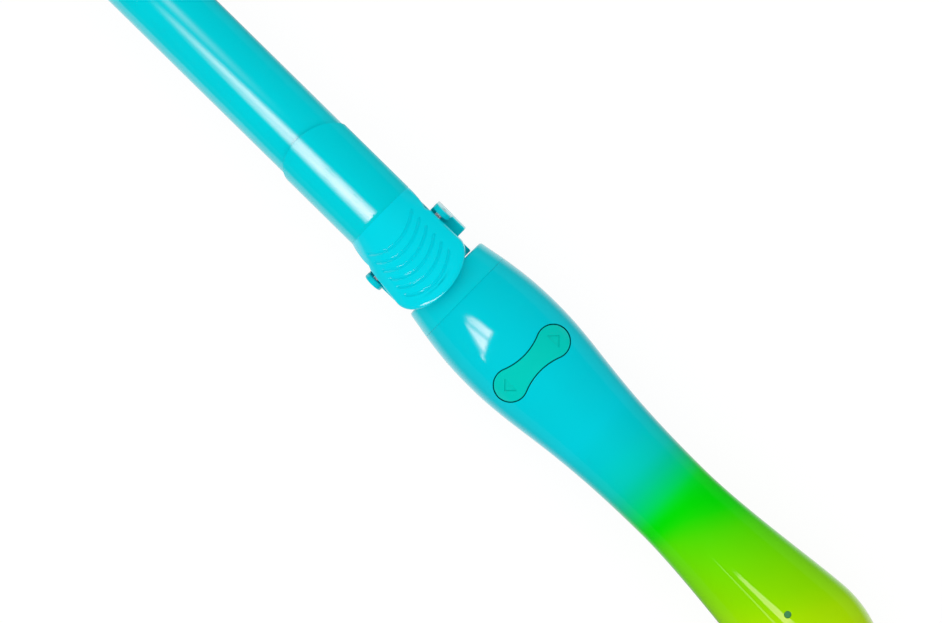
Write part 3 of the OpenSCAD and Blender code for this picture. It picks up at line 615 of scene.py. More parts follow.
def makeLeverPiece(s):
    # The lever's shell, a lug each side for the pin that stays under the skin, and two posts for screws
    patches = makeLever(s)
    (px, pz), r, (backTop, frontTop) = layout["pin"], s["lugRadius"], s["lugTops"]
    low = [px, pz] + r * unit(np.radians(np.linspace(180, 360, 33)))
    outline = rounded(np.concatenate([low, [[px + r, backTop], [px - r, frontTop]]]), 0.0)
    for side in (-1, 1):
        lug = slabOf(outline, *sorted(side * np.array(s["lugY"])), s["lugEdge"], 1)
        roof = np.sqrt((leverRadius(s, lug[..., 0]) - s["lugRoof"]) ** 2 - lug[..., 1] ** 2)
        lug[..., 2] = np.minimum(lug[..., 2], roof)
        patches.append(grid(lug, False, True, True))
    for x in s["screws"]:
        post = boxOf(s["bossFrom"], leverRadius(s, x) - s["bossRoof"], 0, s["boss"])
        patches.append(solidOf(post, [0, 0.2, 0, 0], 2, (x, 0, 0), 32))
    buildPiece("thumbLever", patches, "lever_plastic", "clamp", "clamp_lever", turned=True, sharp=50)


makeSpoon(spoon)
makeLeverPiece(lever)


hinge = {
    "lowRadius": 12.6, "lowTop": -0.5, "highRadius": 10.9, "top": 8.6, "pocketTop": 3.4,
    "pocket": (-21.5, -10.5), "front": -32.2, "back": -0.4, "round": 0.35, "neckRadius": 8.0, "neckEnd": 15.0,
    "bore": 5.0, "clipGroove": (13.2, 14.2), "clipDepth": 0.8, "spigot": (-50.2, 11.45, 2.6),
    "earY": (15.3, 17.3), "earRadius": 3.4, "earX": (-19.4, -6.7), "earFoot": 1.0, "earEdge": 0.45,
    "foot": [[9.0, 3.2], [16.9, 3.2], [16.9, -1.0], [12.4, -5.0], [9.0, -5.0]], "pinRadius": 1.25,
    "sink": 0.5, "sectionSteps": (60, 14), "sectionRounds": (0.5, 0.4, 0.6),
}


def hingeSection(s, top):
    # Across the iron: the lower half of a large circle, a step in, and a smaller circle cut off flat
    lowSteps, highSteps = s["sectionSteps"]
    low, foot, head = np.arcsin([s["lowTop"] / s["lowRadius"], s["lowTop"] / s["highRadius"],
                                 top / s["highRadius"]])
    sweeps = ((s["lowRadius"], -np.pi - low, low, lowSteps), (s["highRadius"], foot, head, highSteps),
              (s["highRadius"], np.pi - head, np.pi - foot, highSteps))
    outline = np.concatenate([r * unit(np.linspace(start, end, steps)) for r, start, end, steps in sweeps])
    radii = np.zeros(len(outline))
    neckAt = lowSteps + highSteps
    radii[[0, lowSteps - 1]], radii[[lowSteps, -1]], radii[[neckAt - 1, neckAt]] = s["sectionRounds"]
    return rounded(outline, radii)


def makeHinge(s):
    # Its section carried along the axis, lower in the pocket; then the neck, the spigot and two ears
    edge, (pocketFront, pocketBack) = s["round"], s["pocket"]
    ends = np.stack(quarter(edge)[::-1], -1)
    rows = [(s["front"] + a, s["top"], b) for a, b in ends]
    for x, sign in ((pocketFront, 1), (pocketBack, -1)):
        wall = np.concatenate([bend([x - sign * edge, s["top"]], [x, s["top"]], [x, s["top"] - edge]),
                               bend([x, s["pocketTop"] + edge], [x, s["pocketTop"]],
                                    [x + sign * edge, s["pocketTop"]])])
        rows += [(wx, wz, 0) for wx, wz in wall[::sign]]
    rows += [(s["back"] - a, s["top"], b) for a, b in ends[::-1]]
    sections = [hingeSection(s, top) for _, top, _ in rows]
    body = np.array([np.column_stack([np.full(len(c), x), c - outward(c) * inset])
                     for (x, _, inset), c in zip(rows, sections)])
    g0, g1 = s["clipGroove"]
    r, n, back, front = s["neckRadius"], s["neckEnd"], s["back"] - s["sink"], s["front"] + s["sink"]
    neck = [[back, s["bore"]], [back, r], [g0, r], [g0, r - s["clipDepth"]], [g1, r - s["clipDepth"]],
            [g1, r], [n, r], [n, s["bore"]]]
    spigotFront, spigotRadius, wireBore = s["spigot"]
    patches = [grid(body, False, True, True), ringOf(neck, 0.15),
               ringOf(boxOf(spigotFront, front, wireBore, spigotRadius), 0.4)]
    px, pz = layout["pin"]
    head = [px, pz] + s["earRadius"] * unit(np.radians(np.linspace(0, 180, 25)))
    plate = [[s["earX"][0], s["earFoot"]], [px + s["earRadius"], s["earFoot"]]]
    plate = rounded(np.concatenate([head, plate]), 0.0)
    for side in (-1, 1):
        ear = slabOf(plate, *sorted(side * np.array(s["earY"])), s["earEdge"], 1)
        foot = slabOf(rounded(np.array(s["foot"]) * [side, 1], 0.5), *s["earX"], s["earEdge"], 0)
        patches += [grid(ear, False, True, True), grid(foot, False, True, True)]
    buildPiece("hingeBase", patches, "base_plastic", "barrel", "hinge_base", turned=True)


def makePin(s):
    # A round bar across the ears, flush with their outer faces
    half, (px, pz) = s["earY"][1], layout["pin"]
    bar = solidOf(boxOf(-half, half, 0, s["pinRadius"]), [0, 0.25, 0.25, 0], 1, (px, 0, pz), 64)
    buildPiece("hingePin", [bar], "steel", "barrel", "hinge_pin", turned=True)


spring = {"radius": 2.15, "wire": 0.45, "pitch": 1.4, "turns": 5, "frontAngle": 13.7, "frontLeg": 5.2,
          "backAngle": 53.0, "backLeg": 16.0, "legSteps": 13, "round": 14}


def makeSpring(s):
    # A helix round the pin, x = r cos a, y = pitch a, z = r sin a, with a straight leg at each end
    first, last = np.radians([s["frontAngle"] - 90, s["backAngle"] - 90 + 360 * s["turns"]])
    a = np.linspace(first, last, 30 * s["turns"])
    radial = np.stack([np.cos(a), 0 * a, np.sin(a)], -1)
    lift = s["pitch"] * (a - (first + last) / 2) / (2 * np.pi)
    coil = np.insert(layout["pin"], 1, 0) + s["radius"] * radial + lift[:, None] * [0, 1, 0]
    ahead = np.stack([-np.sin(a), 0 * a, np.cos(a)], -1)
    legs = np.linspace(0, 1, s["legSteps"] + 1)[1:, None]
    path = np.concatenate([(coil[0] - s["frontLeg"] * ahead[0] * legs)[::-1], coil,
                           coil[-1] + s["backLeg"] * ahead[-1] * legs])
    side = np.pad(radial, ((s["legSteps"],) * 2, (0, 0)), "edge")
    along = np.gradient(path, axis=0)
    along /= np.linalg.norm(along, axis=1, keepdims=True)
    side -= (side * along).sum(1, keepdims=True) * along
    side /= np.linalg.norm(side, axis=1, keepdims=True)
    other = np.cross(along, side)
    b = np.linspace(0, 2 * np.pi, s["round"], endpoint=False)[None, :, None]
    tube = path[:, None] + s["wire"] * (np.cos(b) * side[:, None] + np.sin(b) * other[:, None])
    piece = buildPiece("clampSpring", [grid(tube, False, True, True)], "steel", None, "clamp_spring",
                       turned=True)
    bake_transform(piece)


makeHinge(hinge)
makePin(hinge)
makeSpring(spring)


handle = {
    "curves": [[[9.2, 18.4], [17, 19.6], [22, 20.25], [32, 20.25]],
               [[32, 20.25], [53, 20.25], [62.5, 15.1], [106.5, 15.1]],
               [[106.5, 15.1], [126.5, 15.1], [160, 20.3], [169, 20.3]]],
    "swell": (169.0, 20.3), "endLength": 29.0, "mouth": 8.0, "wall": 2.2, "bore": 6.05, "cavityEnd": 186.6,
    "flat": 19.4, "flatSoft": 0.12, "seam": 0.22, "frontX": 9.2,
}
endTurn = np.arccos(handle["mouth"] / handle["swell"][1])
endAngles = np.linspace(0, endTurn, 200)[:, None]
handleLine = np.concatenate([bezier(c) for c in handle["curves"]] + [np.hstack([
    handle["swell"][0] + handle["endLength"] * np.sin(endAngles), handle["swell"][1] * np.cos(endAngles)])])
handle["endX"] = handleLine[-1, 0]


def handleRadius(x):
    # Half the handle's thickness at a distance from the collar, read from its line
    return np.interp(x, *handleLine.T)


def handleSkin(x, angle, inset=0.0, side=1):
    # A point of the handle at an angle from its top, or from its bottom, where two flats cut it off softly
    r = handleRadius(x) - inset
    y, z = r * np.sin(angle), r * np.cos(angle)
    if side < 0:
        soft, flat = handle["flatSoft"], handle["flat"]
        z = np.where(r > flat - 1.0, soft * np.logaddexp(0, (flat - z) / soft) - flat, -z)
    return np.stack(np.broadcast_arrays(x, y, z), -1)


def skinOver(plan, inset=0.0, side=1):
    # The skin's point above or below a point (x, y) of the plan
    r = handleRadius(plan[:, 0]) - inset
    return handleSkin(plan[:, 0], np.arcsin(np.clip(plan[:, 1] / r, -1, 1)), inset, side)


def linesBetween(breaks, step):
    # Evenly spaced lines between breaks that are themselves lines
    parts = [np.linspace(a, b, max(2, int(np.ceil((b - a) / step)) + 1))[:-1]
             for a, b in zip(breaks, breaks[1:])]
    return np.concatenate(parts + [[breaks[-1]]])


rocker = {"x": 40.2, "endRadius": 5.5, "endY": 10.1, "waist": 7.0, "gap": 0.35, "thick": 2.0, "lip": 0.2,
          "arrowY": 9.95, "arrowHeight": 2.95, "arrowHalf": 2.85, "arrowDepth": 0.35, "pivotZ": 14.3,
          "webHalf": 3.4, "webTop": 18.35, "webY": 1.6, "hub": ((6.8, 1.2), (3.4, 1.8)), "steps": 120,
          "plungerY": 8.5, "plungerZ": (13.9, 16.6), "plungerRadius": 1.6}


def boneArcs(s):
    # Radius of the hollow sides, the angle of half of one, its length, and the length of a round end
    side = ((s["waist"] / 2) ** 2 + s["endY"] ** 2 - s["endRadius"] ** 2) / (2 * s["endRadius"] - s["waist"])
    meet = np.arctan(s["endY"] / (s["waist"] / 2 + side))
    return side, meet, side * meet, s["endRadius"] * (np.pi + 2 * meet)


def dogBone(s, along, grow):
    # Two round ends joined by hollow arcs, by the share of the outline from its right side's middle
    sideRadius, meet, half, cap = boneArcs(s)
    sideX = s["waist"] / 2 + sideRadius
    ends = np.cumsum([half, cap, 2 * half, cap, half])
    u = np.mod(along, 1.0) * ends[-1]
    part = np.clip(np.searchsorted(ends, u, side="right"), 0, 4)
    begin = np.concatenate([[0], ends[:-1]])[part]
    centreX = np.array([sideX, 0, -sideX, 0, sideX])[part]
    centreY = np.array([0, s["endY"], 0, -s["endY"], 0])[part]
    flat = np.isin(part, (0, 2, 4))
    angle = np.array([np.pi, -meet, meet, np.pi - meet, np.pi + meet])[part]
    angle = angle + np.where(flat, -(u - begin) / sideRadius, (u - begin) / s["endRadius"])
    radius = np.where(flat, sideRadius - grow, s["endRadius"] + grow)
    return np.stack([s["x"] + centreX, centreY], -1) + radius[:, None] * unit(angle)


def cornerShares(s):
    # Where the outline is met by the corners of a rectangle round it, 45 degrees round each end
    _, meet, half, cap = boneArcs(s)
    total = 4 * half + 2 * cap
    right, left = (half + s["endRadius"] * (meet + turn * np.pi / 4) for turn in (1, 3))
    return np.array([-right, right, left, total - left, total - right]) / total


def border(xLines, angleLines):
    # Grid points round a rectangle of grid lines, and how far round it they are, one unit for each side
    x, t = xLines, angleLines
    rise, run = np.linspace(0, 1, len(t))[:-1], np.linspace(0, 1, len(x))[:-1]
    bx = np.concatenate([np.full(len(rise), x[-1]), x[::-1][:-1], np.full(len(rise), x[0]), x[:-1]])
    bt = np.concatenate([t[:-1], np.full(len(run), t[-1]), t[::-1][:-1], np.full(len(run), t[0])])
    return bx, bt, np.concatenate([rise, 1 + run, 2 + rise, 3 + run])


def holeOf(plan, lip, tube=(), innerGrow=0.0):
    # A hole of a shell: where each of the border's points meets its lip, the lip's width, the (growth,
    # height) rows of a wall inside it, and how much wider it is in the inner skin
    return {"plan": plan, "lip": lip, "tube": tube, "innerGrow": innerGrow}


def roundHole(x, y, radius, *rest):
    # A hole whose points lie in the same directions from its middle as the border's points
    def plan(bx, bt, q, grow):
        # Each border point's direction from the middle, at the hole's radius
        middle = np.arcsin(y / handleRadius(x))
        return [x, y] + (radius + grow) * unit(np.arctan2((bt - middle) * handleRadius(x), bx - x))
    return holeOf(plan, *rest)


def rockerHole(bx, bt, q, grow):
    # The rocker's outline, its corner shares met where the border has its corners
    return dogBone(rocker, np.interp(q, np.arange(5), cornerShares(rocker)), rocker["gap"] + grow)


def holeRing(hole, xLines, angleLines, side):
    # From the border in over the skin to the hole's lip, down its wall, and out again over the inner skin
    bx, bt, q = border(xLines, angleLines)

    def spread(grow, inset, shares):
        # Rows over the skin by their share of the way from the hole's outline to the border
        plan = hole["plan"](bx, bt, q, grow)
        r = handleRadius(plan[:, 0]) - inset
        angle = np.arcsin(np.clip(plan[:, 1] / r, -1, 1))
        return [handleSkin(plan[:, 0] + (bx - plan[:, 0]) * k, angle + (bt - angle) * k, inset, side)
                for k in shares]
    lip = hole["lip"]
    rows = spread(1.35 * lip, 0, np.linspace(1, 0, 9) ** 1.15)
    start, corner = (skinOver(hole["plan"](bx, bt, q, g), 0, side) for g in (lip, 0))
    drop = np.linalg.norm(start - corner, axis=1)
    rows += list(bend(start, corner, corner - side * drop[:, None] * [0, 0, 1], 5, 0.7))
    for grow, height in hole["tube"]:
        plan = hole["plan"](bx, bt, q, grow)
        rows.append(np.column_stack([plan, np.full(len(plan), side * height)]))
    rows += spread(hole["innerGrow"], handle["wall"], np.linspace(0, 1, 5))
    return grid(rows, False, True)


def makeShell(name, node, side, xBreaks, step, angleBreaks, angleStep, holes):
    # The wall's outline in x and radius, closed, carried round half the axis; near the parting plane it is
    # drawn in so that the edges are round, and each hole takes the place of a rectangle of the grid
    s = handle
    turned = np.arcsin((xBreaks[-1] - s["swell"][0]) / s["endLength"])
    tail = s["swell"][0] + s["endLength"] * np.sin(np.linspace(turned, endTurn * 0.975, 26))[1:]
    lines = np.concatenate([linesBetween([s["frontX"] + 0.4, *xBreaks], step), tail])
    outer = np.stack([lines, handleRadius(lines)], -1)
    innerLines = lines[lines < s["cavityEnd"] - 1.2][::-1]
    inner = np.stack([innerLines, handleRadius(innerLines) - s["wall"]], -1)
    end, cavity = s["endX"], s["cavityEnd"]
    rear = rounded([outer[-1], [end, s["mouth"]], [end, s["bore"]], [cavity, s["bore"]],
                    [cavity, handleRadius(cavity) - s["wall"]], inner[0]], [0, 0.7, 0.3, 0.2, 0.4, 0],
                    closed=False)
    r = handleRadius(s["frontX"])
    front = rounded([inner[-1], [s["frontX"], r - s["wall"]], [s["frontX"], r], outer[0]], [0, 0.15, 0.22, 0],
                    closed=False)
    loop = np.concatenate([outer, rear[1:-1], inner, front[1:-1]])
    innerStart = len(outer) + len(rear) - 2
    near, rise = quarter(s["seam"])
    away, drawn = np.concatenate([[1.4 * s["seam"]], near]), np.concatenate([[0], rise])
    angles = np.radians(linesBetween(angleBreaks, angleStep))
    normal = outward(loop)

    def column(angle, inset, gap):
        # The outline drawn in and carried to an angle, or up to a gap from the parting plane
        x, r = (loop - normal * inset).T
        turn = np.full(len(loop), angle) if gap is None else np.sign(angle) * (np.pi / 2 - gap / r)
        y, z = r * np.sin(turn), side * r * np.cos(turn)
        if side < 0:
            flat = handleSkin(x[:len(outer)], turn[:len(outer)],
                              handleRadius(x[:len(outer)]) - r[:len(outer)], side)
            z[:len(outer)] = flat[:, 2]
        return np.stack([x, y, z], -1)

    columns = [column(-1, i, g) for i, g in zip(drawn[::-1], away[::-1])]
    columns += [column(a, 0, None) for a in angles]
    columns += [column(1, i, g) for i, g in zip(drawn, away)]
    points = np.stack(columns, 1)
    keep = np.ones((len(loop), points.shape[1] - 1), bool)
    lead = len(drawn)
    rings = []
    for (x0, x1), (t0, t1), hole in holes:
        i0, i1 = (int(np.argmin(abs(lines - x))) for x in (x0, x1))
        j0, j1 = (int(np.argmin(abs(angles - np.radians(t)))) for t in (t0, t1))
        keep[i0:i1, lead + j0:lead + j1] = False
        last = innerStart + len(innerLines) - 1
        keep[last - i1:last - i0, lead + j0:lead + j1] = False
        rings.append(holeRing(hole, lines[i0:i1 + 1], angles[j0:j1 + 1], side))
    shell = grid(points.transpose(1, 0, 2), False, True, True, keep.T)
    buildPiece(name, [shell, *rings], "handle_plastic", "handle", node)


led = {"x": 158.2, "radius": 1.15, "foot": 7.7, "under": 0.02, "curve": 0.1}
power = {"x": 171.0, "radius": 4.5, "dome": 24.0, "rise": 0.7, "foot": 10.2, "flange": (15.9, 16.9, 6.0),
         "stem": 1.8, "ring": 3.3, "ringDepth": 0.14, "ringWidth": 0.16}
screw = {"places": [(22, 12.5), (22, -12.5), (103, 0), (168, 12.5), (168, -12.5)], "seat": 7.0, "head": 2.4,
         "headHeight": 1.6, "shank": 1.1, "tip": 4.0, "bore": 2.7, "slot": 0.35, "slotReach": 1.4,
         "slotDepth": 0.9}


def makeShells():
    # The handle's halves: openings for rocker, lamp and button above, and a well for each screw below
    upperHoles = [((28.4, 52.4), (-66, 66), holeOf(rockerHole, 0.12)),
                  ((155.2, 161.2), (-9, 9), roundHole(led["x"], 0, led["radius"] + 0.05, 0.12)),
                  ((163.6, 178.4), (-21, 21), roundHole(power["x"], 0, power["radius"] + 0.3, 0.3))]
    makeShell("frontShell", "front_shell", 1, [28.4, 52.4, 155.2, 161.2, 163.6, 178.4], 1.15,
              [-84, -66, -21, -9, 9, 21, 66, 84], 3, upperHoles)
    bore, lowerHoles = screw["bore"], []
    tube = [(0, screw["seat"] + 0.05), (0, screw["seat"]), (-0.05, screw["seat"]),
            (1.3 - bore, screw["seat"]), (1.3 - bore, 0.4), (0.4, 0.4), (0.5, 0.6)]
    for x, y in screw["places"]:
        span = (-21, 21) if y == 0 else ((21, 57) if y > 0 else (-57, -21))
        lowerHoles.append(((x - 5.5, x + 5.5), span, roundHole(x, y, bore, 0.3, tube, 0.8)))
    makeShell("rearShell", "rear_shell", -1, [16.5, 27.5, 97.5, 108.5, 162.5, 173.5, 178.0], 0.9,
              [-84, -57, -21, 21, 57, 84], 1.8, lowerHoles)


collar = {"bore": 8.6, "front": 16.69, "joint": 18.4, "length": 9.2, "spigot": 16.1, "spigotEnd": 13.2,
          "inner": 14.2, "seat": 12.6, "bush": 10.4, "bushFront": 1.2, "webX": 3.0, "webEnd": 11.0}


def makeCollar(s):
    # The collar's wall as an outline in x and radius, its front edge well rounded, carried round the axis
    line = rounded([[0, s["bore"]], [0, s["front"]], [s["length"], s["joint"]], [s["length"], s["spigot"]],
                    [s["spigotEnd"], s["spigot"]], [s["spigotEnd"], s["inner"]], [s["webX"], s["inner"]],
                    [s["webX"], s["seat"]], [s["webEnd"], s["seat"]], [s["webEnd"], s["bush"]],
                    [s["bushFront"], s["bush"]], [s["bushFront"], s["bore"]]],
                   [0.35, 0.9, 0.2, 0.1, 0.3, 0.1, 0.2, 0.2, 0.1, 0.1, 0.1, 0.1], 7)
    buildPiece("noseCollar", [grid(revolve(line), True, True)], "base_plastic", "handle", "nose_collar")


def arrowEdge(s, ahead, size):
    # Where each direction from the arrow's heart meets the arrow at a size, its corners hit exactly
    y0, half, high = s["arrowY"], s["arrowHalf"], s["arrowHeight"]
    heart = np.array([0, y0 + high / 3])
    tips = heart + (np.array([[half, y0], [0, y0 + high], [-half, y0]]) - heart) * size
    reach = np.full(len(ahead), np.inf)
    for a, b in zip(tips, np.roll(tips, -1, 0)):
        run = b - a
        cross = ahead[:, 0] * run[1] - ahead[:, 1] * run[0]
        far = ((a - heart)[0] * run[1] - (a - heart)[1] * run[0]) / np.where(abs(cross) < 1e-9, 1e-9, cross)
        reach = np.where(far > 0, np.minimum(reach, far), reach)
    points = heart + ahead * reach[:, None]
    turn = np.arctan2(*ahead.T[::-1])
    for tip in tips:
        toTip = np.arctan2(*(tip - heart)[::-1])
        points[np.argmin(abs(np.angle(np.exp(1j * (turn - toTip)))))] = tip
    return points


def makeRocker(s):
    # A rim band along the outline, and for each end a ring of rows in to an arrow-shaped recess
    share = np.linspace(0, 0.5, s["steps"])  # from the right waist over the far end to the left waist
    closedShare = np.concatenate([share, 0.5 + share[1:-1]])
    inset = 1.3 * s["lip"]
    outline = {g: dogBone(s, closedShare, g) for g in (0, -s["lip"], -inset)}
    start, corner = skinOver(outline[-s["lip"]]), skinOver(outline[0])
    drop = np.linalg.norm(start - corner, axis=1)[:, None] * [0, 0, 1]
    skirt, under = skinOver(outline[0], s["thick"]), skinOver(outline[-inset], s["thick"])
    skirt[:, 2] = np.minimum(skirt[:, 2], corner[:, 2] - 2.2 * drop[:, 2])
    under[:, 2] = np.minimum(under[:, 2], skinOver(outline[-inset])[:, 2] - 1.0)
    rim = [skinOver(outline[-inset]), *bend(start, corner, corner - drop, 5, 0.7), skirt]
    middle = np.stack([np.full(len(closedShare), s["x"]), outline[0][:, 1] * 0.6], -1)
    below = [skinOver(outline[-inset] * (1 - k) + middle * k, s["thick"]) for k in np.linspace(0, 1, 6)[1:]]
    patches = [grid([*rim, under, *below], False, True)]

    waistHalf = s["waist"] / 2 - inset
    waist = np.stack([np.linspace(-waistHalf, waistHalf, 26)[1:-1], np.zeros(24)], -1)
    loop = np.concatenate([dogBone(s, share, -inset) - [s["x"], 0], waist])
    ahead = unit(np.arctan2(*(loop - [0, s["arrowY"] + s["arrowHeight"] / 3]).T[::-1]))
    outside, depth = arrowEdge(s, ahead, 1.12), s["arrowDepth"]
    rows = [(loop + (outside - loop) * k, 0) for k in np.linspace(0, 1, 12)]
    rows += [(arrowEdge(s, ahead, size), down) for size, down in (
        (1.04, 0), (0.99, 0.06), (0.93, depth - 0.04), (0.85, depth), (0.5, depth), (1e-4, depth))]
    for side in (1, -1):
        patches.append(grid([skinOver(r * [1, side] + [s["x"], 0], down) for r, down in rows], False, True))

    x, pivot, (r0, r1) = s["x"], s["pivotZ"], s["plungerZ"]
    (far, thin), (near, thick) = s["hub"]
    web = rounded([[x - s["webHalf"], pivot], [x + s["webHalf"], pivot], [x + s["webHalf"], s["webTop"]],
                   [x - s["webHalf"], s["webTop"]]], 0.2)
    hub = [[x - far, 0], [x - far, thin], [x - near, thin], [x - near, thick], [x + near, thick],
           [x + near, thin], [x + far, thin], [x + far, 0]]
    patches += [grid(slabOf(web, -s["webY"], s["webY"], 0.2, 1), False, True, True),
                solidOf(hub, [0, 0.2, 0.1, 0.2, 0.2, 0.1, 0.2, 0], 0, (0, 0, pivot), 48)]
    for y in (-s["plungerY"], s["plungerY"]):
        patches.append(solidOf(boxOf(r0, r1, 0, s["plungerRadius"]), [0, 0.3, 0, 0], 2, (x, y, 0), 40))
    buildPiece("arrowRocker", patches, "rocker_plastic", "rocker", "arrow_rocker", sharp=45)


def makeButton(s):
    # A flanged stem under a shallow dome with a fine ring pressed into it
    low, high, flange = s["flange"]
    r = np.linspace(s["radius"] - 0.001, 0, 40)
    centre = handle["swell"][1] + s["rise"] - s["dome"]
    depth, width = s["ringDepth"], s["ringWidth"]
    dome = centre + np.sqrt(s["dome"] ** 2 - r ** 2) - depth * np.exp(-((r - s["ring"]) / width) ** 2)
    rim = rounded([[s["foot"], 0], [s["foot"], s["stem"]], [low, s["stem"]], [low, flange], [high, flange],
                   [high, s["radius"]], [dome[0], s["radius"]], [dome[4], r[4]]],
                  [0, 0.2, 0.1, 0.2, 0.2, 0.1, 0.35, 0], closed=False)
    line = np.concatenate([rim, np.stack([dome, r], -1)[5:]])
    buildPiece("powerButton", [grid(revolve(line, 2, (s["x"], 0, 0), 96), False, True)], "button_plastic",
               "button", "power_button")


def makeLightPipe(s):
    # A rod whose end lies just under the handle's skin and curves down a little to its edge
    r = np.linspace(s["radius"], 0, 12)
    cap = handleRadius(s["x"]) - s["under"] - s["curve"] * (r / s["radius"]) ** 2
    line = rounded([*boxOf(s["foot"], cap[0], 0, s["radius"])[:3], [cap[3], r[3]]], [0, 0.1, 0.12, 0],
                   closed=False)
    line = np.concatenate([line, np.stack([cap, r], -1)[4:]])
    buildPiece("lightPipe", [grid(revolve(line, 2, (s["x"], 0, 0), 48), False, True)], "lamp_lens", "handle",
               "light_pipe")


def makeScrews(s):
    # Shank and head carried round from the tip, then a cross pressed into the head: each direction's reach
    # is the larger of its two arms'
    turn = np.linspace(0, 2 * np.pi, 96, endpoint=False)
    reach, slot = s["slotReach"], s["slot"]
    for corner in np.arctan2([slot, reach, slot], [reach, slot, slot]):
        for k in range(4):
            turn[np.argmin(abs(turn - corner - k * np.pi / 2))] = corner + k * np.pi / 2
    cos, sin = (np.maximum(f(np.mod(turn, np.pi / 2)), 1e-9) for f in (np.cos, np.sin))
    cross = np.maximum(np.minimum(reach / cos, slot / sin), np.minimum(reach / sin, slot / cos))
    bottom, seat, floor = -s["seat"] - s["headHeight"], -s["seat"], s["slotDepth"]
    side = rounded([[s["tip"], 0], [s["tip"], s["shank"]], [seat, s["shank"]], [seat, s["head"]],
                    [bottom, s["head"]], [bottom, 1.8]], [0, 0.4, 0.1, 0.1, 0.45, 0], closed=False)
    rows = [(z, r + 0 * turn) for z, r in side]
    for deep, grow, size in ((0, 0.06, 1), (0.05, 0.02, 1), (floor, -0.06, 1), (floor, 0, 0.5),
                             (floor + 0.15, 0, 0)):
        rows.append((bottom + deep, (cross + grow) * size))
    screws = []
    for place in s["places"]:
        points = [np.column_stack([np.array(place) + r[:, None] * unit(turn), z + 0 * turn]) for z, r in rows]
        screws.append(grid(points, False, True))
    buildPiece("housingScrews", screws, "steel", "handle", "housing_screws", sharp=35)


sleeve = {"front": 183, "back": 203, "bore": 3.6, "flange": (186.4, 8.6), "radius": 6.0,
          "grooves": (197.2, 199.4), "grooveRadius": 5.7}


def makeSleeve(s):
    # The cord's sleeve: a flange inside the handle, and two fine grooves round the part outside
    (x, flange), r, low = s["flange"], s["radius"], s["grooveRadius"]
    grooves = [[g + a, b] for g in s["grooves"] for a, b in ((0, r), (0.15, low), (0.65, low), (0.8, r))]
    outline = [[s["front"], s["bore"]], [s["front"], flange], [x, flange], [x, r], *grooves, [s["back"], r],
               [s["back"], s["bore"]]]
    radii = [0.3, 0.4, 0.4, 0.2] + [0.12] * len(grooves) + [0.8, 0.4]
    buildPiece("cordSleeve", [ringOf(outline, radii, 96)], "black_plastic", "swivel", "cord_swivel")


makeCollar(collar)
makeShells()
makeRocker(rocker)
makeButton(power)
makeLightPipe(led)
makeScrews(screw)
makeSleeve(sleeve)
print("new pieces made")

slots = {part["node"]: part["material_slot"] for part in frame["record"]["subparts"]}
for name, node in frame["nodes"].items():
    if not node.hide_render:
        node.data.materials.clear()
        node.data.materials.append(materials[slots[name]])
print("carried-over pieces dressed")

stage = {
    "floorSize": 6.0, "floorColour": 0.1, "floorGlow": 0.92,
    "fills": [{"name": "leftSide", "place": (-0.1, -2.7, 1.0), "size": 1.6, "level": 0.22},
              {"name": "rightSide", "place": (0.1, 2.7, 1.0), "size": 1.6, "level": 0.1}],
    "glossGlow": 0.95, "glossLeft": (-0.085, -0.045), "glossRight": (0.02, 0.053), "glossLean": (0.25, -0.06),
    "worldHorizon": 0.02, "worldZenith": 0.01, "worldRise": (0.02, 0.26), "worldDiffuse": 0.93,
    "sheetColour": (1.0, 0.56, 0.55, 1.0), "narrowing": (-0.02, 0.1, 0.0, 0.05), "white": (1, 1, 1, 1),
}


